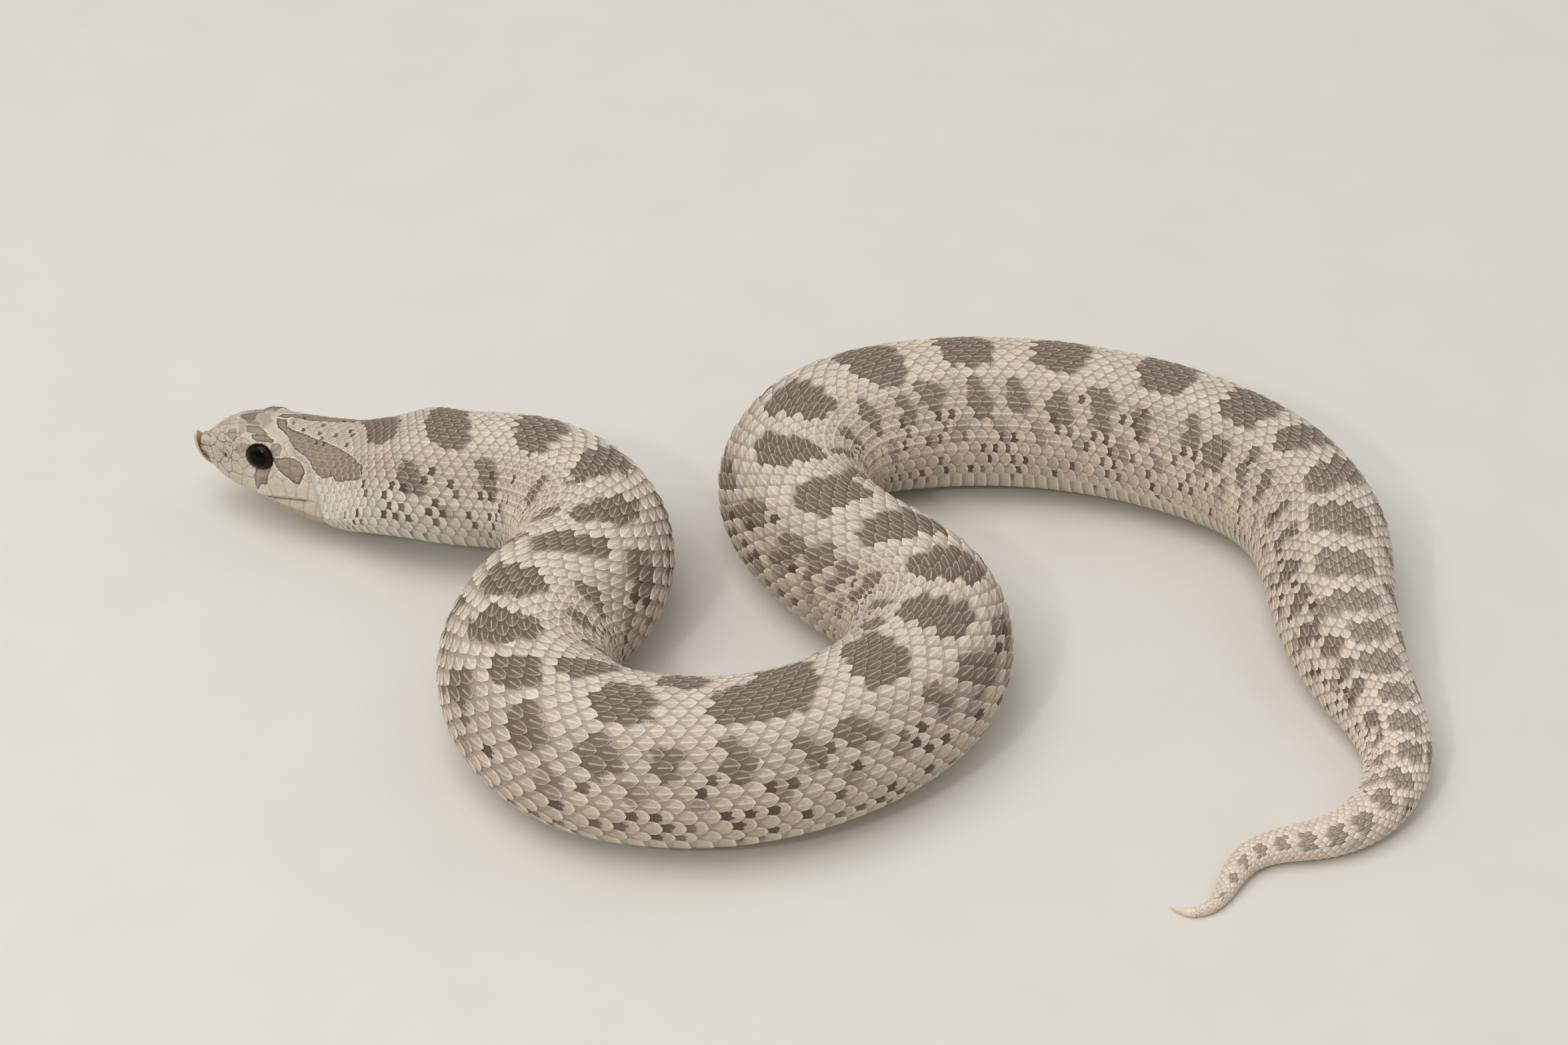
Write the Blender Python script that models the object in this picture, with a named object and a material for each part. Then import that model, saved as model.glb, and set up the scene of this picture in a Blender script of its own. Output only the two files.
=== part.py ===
"""Pale western hognose snake resting on the ground in loose bends, as a still, life-size model.

The spine is a chain of named bends. Round it runs one skin surface, given by half widths and
heights at named stations, and thin vertical cuts part that surface into head, neck, trunk
lengths and tail. All sizes are in millimetres and are scaled to metres where vertices are made.
"""

import math
from dataclasses import dataclass

import bmesh
import bpy
import numpy as np
from mathutils import Matrix, Vector

MM = 0.001
GAP = 0.3  # clear space left between neighbouring pieces

# Where the snout's spine point lies, and the compass heading of the spine there (degrees)
START_X, START_Y, START_HEADING = -101.43, 37.93, -9.0
BEND_BLEND = 20.0  # length over which one bend eases into the next

# The spine from snout to tail tip: name, length, turn in degrees (plus is to the left)
BENDS = (
    ("head", 24, 0),
    ("nape", 9, -22),
    ("neck", 19, 34),
    ("first_bend", 33, -110),
    ("first_crossing", 6, -31),
    ("second_bend", 44, 123),
    ("front_run", 50, 62),
    ("third_bend", 32, 97),
    ("second_crossing", 21, -28),
    ("fourth_bend", 30, -102),
    ("back_run", 66, -46),
    ("hip_bend", 30, -61),
    ("hip_slack", 32, 28),
    ("tail_bend", 37, -119),
    ("tail_hook", 15, 93),
    ("tail_tip", 9, -120),
)
LENGTH = float(sum(length for _, length, _ in BENDS))

# Girth along the spine: distance from the snout tip, half width
HALF_WIDTH = (
    (0.6, 2.2), (2.2, 3.4), (4.7, 5.2), (8.0, 6.9), (10.9, 7.9), (15.0, 9.4), (20.0, 10.5),
    (25.0, 11.1), (30.0, 11.6), (38.0, 12.1), (52.0, 12.2), (70.0, 13.0), (98.0, 14.3),
    (135.0, 14.3), (172.0, 13.8), (208.0, 13.6), (245.0, 12.9), (282.0, 13.8), (318.0, 13.5),
    (350.0, 12.1), (378.0, 9.9), (400.0, 6.3), (424.0, 3.7), (443.0, 2.3), (457.0, 0.8),
)
# Crown and throat above and below the head's axis, then the body's height as a share of its width
HEAD_TOP = (
    (0.6, 2.2), (2.2, 3.5), (4.7, 4.9), (8.0, 6.2), (10.9, 6.5), (15.0, 6.6), (20.0, 6.4),
    (25.0, 6.6), (30.0, 7.2),
)
HEAD_BOTTOM = (
    (0.6, 2.4), (2.2, 3.3), (4.7, 4.7), (8.0, 5.9), (10.9, 6.8), (15.0, 8.1), (20.0, 9.2),
    (25.0, 9.9), (30.0, 10.6),
)
HEIGHT_SHARE = 0.88
BELLY_FLAT = 0.94  # share of the lower height that is left above the flat of the belly
# Clear height under the throat and neck, which the snake holds just off the ground
LIFT = ((24.0, 4.2), (38.0, 4.2), (55.0, 3.9), (75.0, 2.2), (92.0, 0.6), (108.0, 0.0), (457.0, 0.0))
# Height of the head's axis above the ground
HEAD_AXIS = ((0.0, 13.0), (10.9, 12.3), (24.0, 10.9), (34.0, 11.0))
HEAD_LENGTH, HEAD_END, NECK_FULL = 24.0, 25.0, 42.0
HEAD_SQUARE, BACK_ROUND, BELLY_ROUND = 3.0, 2.0, 2.2  # how boxy a section is: 2 is an ellipse
LIP = -3.0  # height of the widest part of the head from its axis
CROWN_TAPER, CHIN_TAPER = 0.38, 0.2  # how much narrower the crown and the chin are than the lips
# Height of the mouth line from the head's axis
MOUTH = (
    (0.0, -2.6), (6.0, -3.4), (11.0, -3.5), (14.0, -2.7), (17.0, -1.75), (20.5, -1.0), (24.0, -0.6),
)
SNOUT_START, JAW_START = 1.0, 3.2  # where the upper head and the lower jaw begin
UPPER_POINTS, LOWER_POINTS = 26, 16  # points round each half of a head section
HEAD_RING = 1.8  # distance between head sections

EYE_BACK, EYE_ANGLE = 11.7, 70.0  # along the head, and degrees down from the crown
EYE_RADIUS, EYE_BULGE, EYE_SUNK = 2.5, 2.0, 1.2
EYE_SEGMENTS, EYE_RINGS = 20, 12

# The upturned snout scale: share of the way up, forward of the snout point, height, half width,
# and how far its edges sweep back
ROSTRAL_FORM = (
    (0.0, -0.4, -3.0, 2.7, 1.7), (0.35, 0.9, -1.9, 2.45, 1.35), (0.7, 1.5, -0.2, 1.7, 0.75),
    (0.9, 1.5, 0.9, 1.1, 0.35), (1.0, 1.35, 1.5, 0.65, 0.15),
)
ROSTRAL_THICK, ROSTRAL_THIN_EDGE = 0.95, 0.25  # at its middle, and the share lost at its edges
ROSTRAL_LEVELS, ROSTRAL_ACROSS = 8, 7

SKIN_PALE = (0.60, 0.53, 0.49)
SKIN_BELLY = (0.72, 0.67, 0.60)
HORN = (0.66, 0.58, 0.44)
EYE_DARK = (0.02, 0.013, 0.01)

# Lengths that the thin cuts make: name, from, to, points round the section
LENGTHS = (
    ("neck", 24, 52, 26),
    ("trunk_first_bend", 52, 88, 26),
    ("trunk_second_bend", 88, 136, 26),
    ("trunk_front_run", 136, 184, 26),
    ("trunk_third_bend", 184, 226, 26),
    ("trunk_fourth_bend", 226, 268, 26),
    ("trunk_back_run", 268, 332, 26),
    ("trunk_hip_bend", 332, 362, 26),
    ("trunk_vent_length", 362, 390, 24),
    ("tail_base", 390, 432, 20),
    ("tail_tip", 432, 457, 16),
)
TURN_PER_RING, LENGTH_PER_RING = 8.5, 5.5


def through(stations: tuple, at: np.ndarray) -> np.ndarray:
    """Smooth curve through (distance, value) stations, with no overshoot between them."""
    x, y = np.array(stations, float).T
    step, rise = np.diff(x), np.diff(y) / np.diff(x)
    slope = np.zeros_like(y)
    for i in range(1, len(x) - 1):
        if rise[i - 1] * rise[i] > 0:
            a, b = 2 * step[i] + step[i - 1], step[i] + 2 * step[i - 1]
            slope[i] = (a + b) / (a / rise[i - 1] + b / rise[i])
    slope[0], slope[-1] = rise[0], rise[-1]
    at = np.clip(at, x[0], x[-1])
    i = np.clip(np.searchsorted(x, at, side="right") - 1, 0, len(x) - 2)
    t = (at - x[i]) / step[i]
    return (
        y[i] * (1 + 2 * t) * (1 - t) ** 2
        + slope[i] * step[i] * t * (1 - t) ** 2
        + y[i + 1] * t * t * (3 - 2 * t)
        + slope[i + 1] * step[i] * t * t * (t - 1)
    )


def smooth_step(at: np.ndarray, low: float, high: float) -> np.ndarray:
    """0 before low, 1 after high, and an even ease between."""
    t = np.clip((at - low) / (high - low), 0, 1)
    return t * t * (3 - 2 * t)


class Spine:
    """The snake's axis on the ground: position and heading at each millimetre from the snout."""

    def __init__(self) -> None:
        self.s = np.arange(LENGTH + 1)
        knots = np.cumsum([0] + [length for _, length, _ in BENDS])
        turns = np.cumsum([0] + [turn for _, _, turn in BENDS])
        heading = np.interp(self.s, knots, turns)
        kernel = 1 - np.cos(np.linspace(0, 2 * math.pi, int(BEND_BLEND) + 1))
        kernel /= kernel.sum()
        pad = len(kernel) // 2
        head = 2 * heading[0] - heading[pad:0:-1]
        tail = 2 * heading[-1] - heading[-2 : -pad - 2 : -1]
        eased = np.convolve(np.concatenate([head, heading, tail]), kernel, "same")[pad:-pad]
        self.heading = np.radians(eased + START_HEADING)
        along = np.stack([np.cos(self.heading), np.sin(self.heading)], 1)
        steps = (along[1:] + along[:-1]) / 2
        self.place = np.array([START_X, START_Y]) + np.concatenate([[[0, 0]], np.cumsum(steps, 0)])

    def at(self, s: np.ndarray) -> tuple:
        """Ground position and unit vector to the spine's left, looking tailwards."""
        x, y = (np.interp(s, self.s, self.place[:, i]) for i in (0, 1))
        turn = np.interp(s, self.s, self.heading)
        return np.stack([x, y], -1), np.stack([-np.sin(turn), np.cos(turn)], -1)

    def turned(self, start: float, end: float) -> float:
        """Degrees of turning between two places, left and right both counted."""
        part = self.heading[int(start) : int(end) + 1]
        return float(np.degrees(np.abs(np.diff(part)).sum()))


SPINE = Spine()


def section(s: float, angles: np.ndarray) -> np.ndarray:
    """Outline of the body at one place, by angle from the back: side offset and height off the ground."""
    width = float(through(HALF_WIDTH, s))
    in_head = 1 - float(smooth_step(s, HEAD_END, NECK_FULL))
    round_top = width * HEIGHT_SHARE
    top = in_head * float(through(HEAD_TOP, s)) + (1 - in_head) * round_top
    bottom = in_head * float(through(HEAD_BOTTOM, s)) + (1 - in_head) * round_top
    resting = round_top * BELLY_FLAT + float(through(LIFT, s))
    axis = in_head * float(through(HEAD_AXIS, s)) + (1 - in_head) * resting
    power = 2 / (in_head * HEAD_SQUARE + (1 - in_head) * BACK_ROUND)
    low_power = 2 / (in_head * HEAD_SQUARE + (1 - in_head) * BELLY_ROUND)
    sin, cos = np.sin(angles), np.cos(angles)
    use = np.where(cos > 0, power, low_power)
    side = width * np.sign(sin) * np.abs(sin) ** use
    rise = np.where(cos > 0, top, bottom) * np.sign(cos) * np.abs(cos) ** use
    side *= 1 - CROWN_TAPER * in_head * np.clip((rise - LIP) / (top - LIP), 0, 1)
    side *= 1 - CHIN_TAPER * in_head * np.clip((LIP - rise) / (bottom + LIP), 0, 1)
    rise = np.maximum(rise, -bottom * BELLY_FLAT)
    return np.stack([side, axis + rise], -1)


def ring(s: float, angles: np.ndarray) -> np.ndarray:
    """The outline's points in space, in millimetres."""
    place, left = SPINE.at(np.array(s))
    flat = section(s, angles)
    return np.column_stack([place + flat[:, :1] * left, flat[:, 1]])


def loft(bm: bmesh.types.BMesh, rings: list) -> None:
    """Skin a row of closed rings with quads and cap both ends."""
    loops = [[bm.verts.new(Vector(point) * MM) for point in points] for points in rings]
    for near, far in zip(loops, loops[1:]):
        for i in range(len(near)):
            j = (i + 1) % len(near)
            bm.faces.new((near[i], near[j], far[j], far[i]))
    bm.faces.new(loops[0])
    bm.faces.new(loops[-1])
    bmesh.ops.remove_doubles(bm, verts=bm.verts, dist=1e-7)
    bmesh.ops.recalc_face_normals(bm, faces=bm.faces)


@dataclass(frozen=True)
class Finish:
    """A piece's plain colour and sheen."""

    name: str
    colour: tuple
    rough: float

    def material(self) -> bpy.types.Material:
        found = bpy.data.materials.get(self.name)
        if found:
            return found
        made = bpy.data.materials.new(self.name)
        made.use_nodes = True
        shader = made.node_tree.nodes["Principled BSDF"]
        shader.inputs["Base Color"].default_value = (*self.colour, 1)
        shader.inputs["Roughness"].default_value = self.rough
        shader.inputs["Metallic"].default_value = 0.0
        return made


SKIN = Finish("skin", SKIN_PALE, 0.5)
BELLY = Finish("throat_skin", SKIN_BELLY, 0.45)
ROSTRAL = Finish("rostral_horn", HORN, 0.4)
EYE = Finish("eye", EYE_DARK, 0.08)


def place_object(name: str, bm: bmesh.types.BMesh, finish: Finish) -> bpy.types.Object:
    """Turn a finished mesh into a named object with its material."""
    mesh = bpy.data.meshes.new(name)
    bm.to_mesh(mesh)
    bm.free()
    mesh.shade_smooth()
    mesh.set_sharp_from_angle(angle=math.radians(50))
    mesh.materials.append(finish.material())
    made = bpy.data.objects.new(name, mesh)
    bpy.context.scene.collection.objects.link(made)
    return made


def body_length(name: str, start: float, end: float, count: int) -> bpy.types.Object:
    """One length of neck, trunk or tail between two thin cuts."""
    by_turn = math.ceil(SPINE.turned(start, end) / TURN_PER_RING)
    rings = max(3, math.ceil((end - start) / LENGTH_PER_RING), by_turn)
    close = 0 if end >= LENGTH else GAP / 2
    angles = np.linspace(0, 2 * math.pi, count, endpoint=False) + math.pi / count
    bm = bmesh.new()
    loft(bm, [ring(s, angles) for s in np.linspace(start + GAP / 2, end - close, rings + 1)])
    return place_object(name, bm, SKIN)


def head_half(name: str, upper: bool, start: float, finish: Finish) -> bpy.types.Object:
    """Upper head or lower jaw: the part of each section above or below the mouth line."""
    fine = np.linspace(0, math.pi, 361)
    inner = np.arange(start + 2.2, HEAD_LENGTH - 1, HEAD_RING)
    rings = []
    for s in (start, start + 0.5, start + 1.2, *inner, HEAD_LENGTH - GAP / 2):
        side = GAP / 2 if upper else -GAP / 2
        limit = float(through(HEAD_AXIS, s)) + float(through(MOUTH, s)) + side
        corner = float(np.interp(-limit, -section(s, fine)[:, 1], fine))
        reach = (-corner, corner) if upper else (corner, 2 * math.pi - corner)
        rings.append(ring(s, np.linspace(*reach, UPPER_POINTS if upper else LOWER_POINTS)))
    bm = bmesh.new()
    loft(bm, rings)
    return place_object(name, bm, finish)


def head_matrix() -> Matrix:
    """Head axes in space: x forward from the snout tip, y to the snake's left, z up."""
    place, left = SPINE.at(np.array(0.0))
    turn = float(SPINE.heading[0]) + math.pi
    at = Vector((place[0], place[1], HEAD_AXIS[0][1])) * MM
    return Matrix.Translation(at) @ Matrix.Rotation(turn, 4, "Z")


def eye_matrix(side: int) -> Matrix:
    """Axes of an eye on the head's surface, z outwards; the snake's left is side 1."""
    angle = -side * math.radians(EYE_ANGLE)
    here, on = (Vector(ring(EYE_BACK, np.array([angle + step]))[0]) for step in (0.0, 0.05))
    back = Vector(ring(EYE_BACK + 0.3, np.array([angle]))[0])
    out = (on - here).cross(back - here).normalized()
    out *= 1 if out.z > 0 else -1
    centre = here - out * EYE_SUNK
    turn = out.to_track_quat("Z", "Y").to_matrix().to_4x4()
    return Matrix.Translation(centre * MM) @ turn


def eyeball(name: str, side: int, grow: float = 0.0) -> bpy.types.Object:
    """A round eye, flattened a little along its own axis."""
    bm = bmesh.new()
    bmesh.ops.create_uvsphere(bm, u_segments=EYE_SEGMENTS, v_segments=EYE_RINGS, radius=1)
    size = Vector((EYE_RADIUS, EYE_RADIUS, EYE_BULGE)) + Vector((grow, grow, grow))
    bmesh.ops.scale(bm, verts=bm.verts, vec=size * MM)
    bmesh.ops.transform(bm, verts=bm.verts, matrix=eye_matrix(side))
    return place_object(name, bm, EYE)


def rostral(name: str, grow: float = 0.0) -> bpy.types.Object:
    """The upturned shovel scale on the snout: a curved plate with swept edges, narrow at its tip."""
    share, *columns = (np.array(column) for column in zip(*ROSTRAL_FORM))
    rings = []
    for t in np.linspace(0, 1, ROSTRAL_LEVELS):
        lean, height, width, sweep = (float(through(tuple(zip(share, c)), t)) for c in columns)
        height += grow * (2 * t - 1)
        width += grow
        across = np.linspace(-1, 1, ROSTRAL_ACROSS)
        front = [(lean + grow - sweep * u * u, u * width, height) for u in across]
        thick = ROSTRAL_THICK + 4 * grow
        rear = [(x - thick * (1 - ROSTRAL_THIN_EDGE * u * u), y, z) for (x, y, z), u in zip(front, across)]
        rings.append(front + rear[::-1])
    bm = bmesh.new()
    loft(bm, rings)
    bmesh.ops.transform(bm, verts=bm.verts, matrix=head_matrix())
    return place_object(name, bm, ROSTRAL)


def carve(target: bpy.types.Object, cutter: bpy.types.Object) -> None:
    """Cut one body out of another and keep the cutter out of the model."""
    cutter.hide_render = True
    cutter.display_type = "WIRE"
    cut = target.modifiers.new("cut_" + cutter.name, "BOOLEAN")
    cut.operation = "DIFFERENCE"
    cut.object = cutter


def main() -> None:
    for old in list(bpy.data.objects):
        bpy.data.objects.remove(old, do_unlink=True)
    head = head_half("head", True, SNOUT_START, SKIN)
    head_half("lower_jaw", False, JAW_START, BELLY)
    rostral("rostral_scale")
    carve(head, rostral("rostral_seat", GAP))
    for side, name in ((1, "eye_left"), (-1, "eye_right")):
        eyeball(name, side)
        carve(head, eyeball("socket_" + name, side, GAP))
    for name, start, end, count in LENGTHS:
        body_length(name, start, end, count)


main()
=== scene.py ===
"""Western hognose snake at rest in loose bends: the looks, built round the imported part.

One closed skin runs from the snout to the tail tip and carries the head's shields, lips, nostrils
and eye sockets as relief. Over it lies the coat: keeled back scales in slanting rows, broad belly
scutes and paired scutes under the tail, each a solid of its own joined into one mesh per length.
Skin and coat take their colour from the same markings, which are functions of the distance from
the snout and of the angle round the body. Lengths are in millimetres, and angles in degrees, until
vertices are made. An angle is 0 at the top of a section and positive on the snake's right.
"""

import logging
import math
from dataclasses import dataclass, field
from enum import Enum

import bmesh
import bpy
import numpy as np
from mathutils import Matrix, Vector

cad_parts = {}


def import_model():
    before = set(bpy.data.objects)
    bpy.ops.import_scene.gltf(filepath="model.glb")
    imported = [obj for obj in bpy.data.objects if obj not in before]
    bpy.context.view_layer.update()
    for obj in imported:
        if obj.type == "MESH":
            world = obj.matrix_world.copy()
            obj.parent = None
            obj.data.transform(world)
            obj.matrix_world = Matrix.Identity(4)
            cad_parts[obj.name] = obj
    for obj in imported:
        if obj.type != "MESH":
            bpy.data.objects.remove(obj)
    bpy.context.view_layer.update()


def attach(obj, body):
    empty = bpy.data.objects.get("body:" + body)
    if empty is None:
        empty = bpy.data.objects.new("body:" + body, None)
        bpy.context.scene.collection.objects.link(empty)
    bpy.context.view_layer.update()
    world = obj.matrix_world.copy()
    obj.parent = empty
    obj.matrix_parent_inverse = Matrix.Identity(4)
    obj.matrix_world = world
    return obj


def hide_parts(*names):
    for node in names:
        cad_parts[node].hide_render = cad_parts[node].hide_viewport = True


LOG = logging.getLogger("hognose")
MM = 0.001  # metres in a millimetre
MERGE = 2e-6  # vertices nearer than this, in metres, become one
FAR = 9.0  # stands for a distance in millimetres that no patch or seam reaches
CREASE = 62.0  # edges of scales bent more than this many degrees stay crisp
UNDERSIDE = 180.0  # angle of the middle of the underside
BAKE_MAP = "OFBake"
BAKE_PATCH = 0.003  # side of one scale's patch on the bake map
# Names of the numbers kept at each vertex for the finishes
MARKINGS = "markings"
TILE = "tile"
LINES = "lines"
ZONES = "zones"
SPOTS = "spots"
Array = np.ndarray
Mesh = bpy.types.Mesh
Piece = bpy.types.Object
Socket = bpy.types.NodeSocket
Triple = tuple[float, float, float]
Stations = tuple[tuple[float, float], ...]


# ---- Curves and small helpers ----


def course(stations: Stations, at: Array) -> Array:
    """Smooth curve through stations, with no overshoot between them.

    Args:
        stations: (distance, value) pairs in rising order of distance.
        at: distances to read the curve at.

    Returns:
        The curve's values, held constant beyond its ends.
    """
    x, y = np.array(stations, float).T
    step, rise = np.diff(x), np.diff(y) / np.diff(x)
    slope = np.zeros_like(y)
    for i in range(1, len(x) - 1):
        if rise[i - 1] * rise[i] > 0:
            a, b = 2 * step[i] + step[i - 1], step[i] + 2 * step[i - 1]
            slope[i] = (a + b) / (a / rise[i - 1] + b / rise[i])
    slope[0], slope[-1] = rise[0], rise[-1]
    at = np.clip(at, x[0], x[-1])
    i = np.clip(np.searchsorted(x, at, side="right") - 1, 0, len(x) - 2)
    t = (at - x[i]) / step[i]
    return (
        y[i] * (1 + 2 * t) * (1 - t) ** 2
        + slope[i] * step[i] * t * (1 - t) ** 2
        + y[i + 1] * t * t * (3 - 2 * t)
        + slope[i + 1] * step[i] * t * t * (t - 1)
    )


def ease(at: Array, low: float, high: float) -> Array:
    """Even ease from 0 to 1.

    Args:
        at: values to read it at.
        low: where it is 0, which may lie above high.
        high: where it is 1.

    Returns:
        The eased shares.
    """
    t = np.clip((np.asarray(at, float) - low) / (high - low), 0, 1)
    return t * t * (3 - 2 * t)


def blend(first: Array, second: Array, share: Array) -> Array:
    """Mix two colours at each point.

    Args:
        first: colour at share 0.
        second: colour at share 1.
        share: one number per point.

    Returns:
        The mixed colours.
    """
    share = np.asarray(share, float)[..., None]
    return first * (1 - share) + second * share


def wobble(s: Array, angle: Array, fineness: float, seed: float) -> Array:
    """Soft, repeatable unevenness from -1 to 1.

    Args:
        s: distance from the snout in millimetres.
        angle: angle round the body in degrees.
        fineness: waves per millimetre, roughly.
        seed: shifts the pattern.

    Returns:
        One value per point.
    """
    u, v = s * fineness * 2.4, angle * fineness * 0.55
    waves = (
        np.sin(u + 1.7 * v + seed)
        + np.sin(1.63 * u - 1.21 * v + 2.1 * seed)
        + np.sin(-0.71 * u + 2.3 * v + 3.7 * seed)
        + np.sin(2.9 * u + 0.6 * v + 5.3 * seed)
    )
    return waves / 4


# ---- The snake's form ----


@dataclass
class Spine:
    """The snake's axis on the ground, as a chain of eased bends."""

    start: tuple[float, float] = (-101.43, 37.93)
    heading: float = -9.0
    blend_length: float = 20.0
    bends: tuple[tuple[str, int, int], ...] = (
        ("head", 24, 0),
        ("nape", 9, -22),
        ("neck", 19, 34),
        ("first_bend", 33, -110),
        ("first_crossing", 6, -31),
        ("second_bend", 44, 123),
        ("front_run", 50, 62),
        ("third_bend", 32, 97),
        ("second_crossing", 21, -28),
        ("fourth_bend", 30, -102),
        ("back_run", 66, -46),
        ("hip_bend", 30, -61),
        ("hip_slack", 32, 28),
        ("tail_bend", 37, -119),
        ("tail_hook", 15, 93),
        ("tail_tip", 9, -120),
    )

    def __post_init__(self) -> None:
        """Walk along the bends once and keep the path."""
        self.length = float(sum(length for _, length, _ in self.bends))
        self.s = np.arange(self.length + 1)
        knots = np.cumsum([0] + [length for _, length, _ in self.bends])
        turns = np.cumsum([0] + [turn for _, _, turn in self.bends])
        turned = np.interp(self.s, knots, turns)
        kernel = 1 - np.cos(np.linspace(0, 2 * math.pi, int(self.blend_length) + 1))
        kernel /= kernel.sum()
        pad = len(kernel) // 2
        before = 2 * turned[0] - turned[pad:0:-1]
        after = 2 * turned[-1] - turned[-2 : -pad - 2 : -1]
        eased = np.convolve(np.concatenate([before, turned, after]), kernel, "same")[pad:-pad]
        self.turn = np.radians(eased + self.heading)
        along = np.stack([np.cos(self.turn), np.sin(self.turn)], 1)
        steps = np.cumsum((along[1:] + along[:-1]) / 2, 0)
        self.place = np.array(self.start) + np.concatenate([[[0, 0]], steps])

    def at(self, s: Array) -> tuple[Array, Array]:
        """Follow the axis over the ground, straight on past either end.

        Args:
            s: distances from the snout.

        Returns:
            Ground places, and unit vectors to the left looking tailwards.
        """
        inside = np.clip(s, 0, self.length)
        x, y = (np.interp(inside, self.s, self.place[:, i]) for i in (0, 1))
        turn = np.interp(inside, self.s, self.turn)
        beyond = s - inside
        x, y = x + beyond * np.cos(turn), y + beyond * np.sin(turn)
        return np.stack([x, y], -1), np.stack([-np.sin(turn), np.cos(turn)], -1)


@dataclass
class Form:
    """The outer surface of the animal, as the solids have it."""

    spine: Spine = field(default_factory=Spine)
    half_width: Stations = (
        (0.6, 2.2), (2.2, 3.4), (4.7, 5.2), (8.0, 6.9), (10.9, 7.9), (15.0, 9.4), (20.0, 10.5),
        (25.0, 11.1), (30.0, 11.6), (38.0, 12.1), (52.0, 12.2), (70.0, 13.0), (98.0, 14.3),
        (135.0, 14.3), (172.0, 13.8), (208.0, 13.6), (245.0, 12.9), (282.0, 13.8), (318.0, 13.5),
        (350.0, 12.1), (378.0, 9.9), (400.0, 6.3), (424.0, 3.7), (443.0, 2.2), (450.0, 1.3),
        (454.0, 0.85), (457.0, 0.55),
    )
    head_top: Stations = (
        (0.6, 2.2), (2.2, 3.5), (4.7, 4.9), (8.0, 6.2), (10.9, 6.5), (15.0, 6.6), (20.0, 6.4),
        (25.0, 6.6), (30.0, 7.2),
    )
    head_bottom: Stations = (
        (0.6, 2.4), (2.2, 3.3), (4.7, 4.7), (8.0, 5.9), (10.9, 6.8), (15.0, 8.1), (20.0, 9.2),
        (25.0, 9.9), (30.0, 10.6),
    )
    lift: Stations = (
        (24.0, 4.2), (38.0, 4.2), (55.0, 3.9), (75.0, 2.2), (92.0, 0.6), (108.0, 0.0), (457.0, 0.0),
    )
    head_axis: Stations = ((0.0, 13.0), (10.9, 12.3), (24.0, 10.9), (34.0, 11.0))
    mouth: Stations = (
        (0.0, -2.6), (6.0, -3.4), (11.0, -3.5), (14.0, -2.7), (17.0, -1.75), (20.5, -1.0), (24.0, -0.6),
    )
    height_share: float = 0.88
    belly_flat: float = 0.94
    head_end: float = 25.0
    neck_full: float = 42.0
    head_square: float = 3.0
    back_round: float = 2.0
    belly_round: float = 2.2
    lip: float = -3.0
    crown_taper: float = 0.38
    chin_taper: float = 0.2

    def __post_init__(self) -> None:
        """Measure round the sections once, so that angles can be shared out by length."""
        self.turns = np.linspace(0, 180, 361)
        self.stops = np.arange(0.75, 61.0, 0.5)
        rings = []
        for stop in self.stops:
            side, rise = self.section(np.full_like(self.turns, stop), self.turns)
            girth = np.concatenate([[0], np.cumsum(np.hypot(np.diff(side), np.diff(rise)))])
            rings.append(np.interp(self.turns, 180 * girth / girth[-1], self.turns))
        self.rings = np.array(rings)

    def shared_out(self, s: Array, angle: Array) -> Array:
        """Angles in even steps of girth turned into the form's own angles.

        Args:
            s: distances from the snout.
            angle: angles that part a section into equal lengths, in degrees.

        Returns:
            The angles that section() and point() take.
        """
        down = np.clip((s - self.stops[0]) * 2, 0, len(self.stops) - 1.001)
        over = np.clip(np.abs((angle + 180) % 360 - 180) * 2, 0, len(self.turns) - 1.001)
        row, column = down.astype(int), over.astype(int)
        v, u = down - row, over - column
        near = self.rings[row, column] * (1 - u) + self.rings[row, column + 1] * u
        far = self.rings[row + 1, column] * (1 - u) + self.rings[row + 1, column + 1] * u
        wrapped = (angle + 180) % 360 - 180
        return np.sign(wrapped) * (near * (1 - v) + far * v)

    def axis(self, s: Array) -> Array:
        """Height of the body's axis above the ground.

        Args:
            s: distances from the snout.

        Returns:
            Heights in millimetres.
        """
        in_head = 1 - ease(s, self.head_end, self.neck_full)
        resting = course(self.half_width, s) * self.height_share * self.belly_flat
        resting = resting + course(self.lift, s)
        return in_head * course(self.head_axis, s) + (1 - in_head) * resting

    def section(self, s: Array, angle: Array) -> tuple[Array, Array]:
        """Outline of the body: offset to the side and height from the axis.

        Args:
            s: distances from the snout tip.
            angle: angles from the top, in degrees.

        Returns:
            Side offsets and rises, in millimetres.
        """
        width = course(self.half_width, s)
        in_head = 1 - ease(s, self.head_end, self.neck_full)
        top = in_head * course(self.head_top, s) + (1 - in_head) * width * self.height_share
        bottom = in_head * course(self.head_bottom, s) + (1 - in_head) * width * self.height_share
        turn = np.radians(angle)
        sin, cos = np.sin(turn), np.cos(turn)
        high = 2 / (in_head * self.head_square + (1 - in_head) * self.back_round)
        low = 2 / (in_head * self.head_square + (1 - in_head) * self.belly_round)
        power = np.where(cos > 0, high, low)
        side = width * np.sign(sin) * np.abs(sin) ** power
        rise = np.where(cos > 0, top, bottom) * np.sign(cos) * np.abs(cos) ** power
        above = np.clip((rise - self.lip) / (top - self.lip), 0, 1)
        below = np.clip((self.lip - rise) / (bottom + self.lip), 0, 1)
        side = side * (1 - self.crown_taper * in_head * above)
        side = side * (1 - self.chin_taper * in_head * below)
        return side, np.maximum(rise, -bottom * self.belly_flat)

    def core(self, s: Array) -> Array:
        """Points on the body's own axis, in millimetres."""
        place, _ = self.spine.at(s)
        return np.concatenate([place, self.axis(s)[:, None]], 1)

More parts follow.
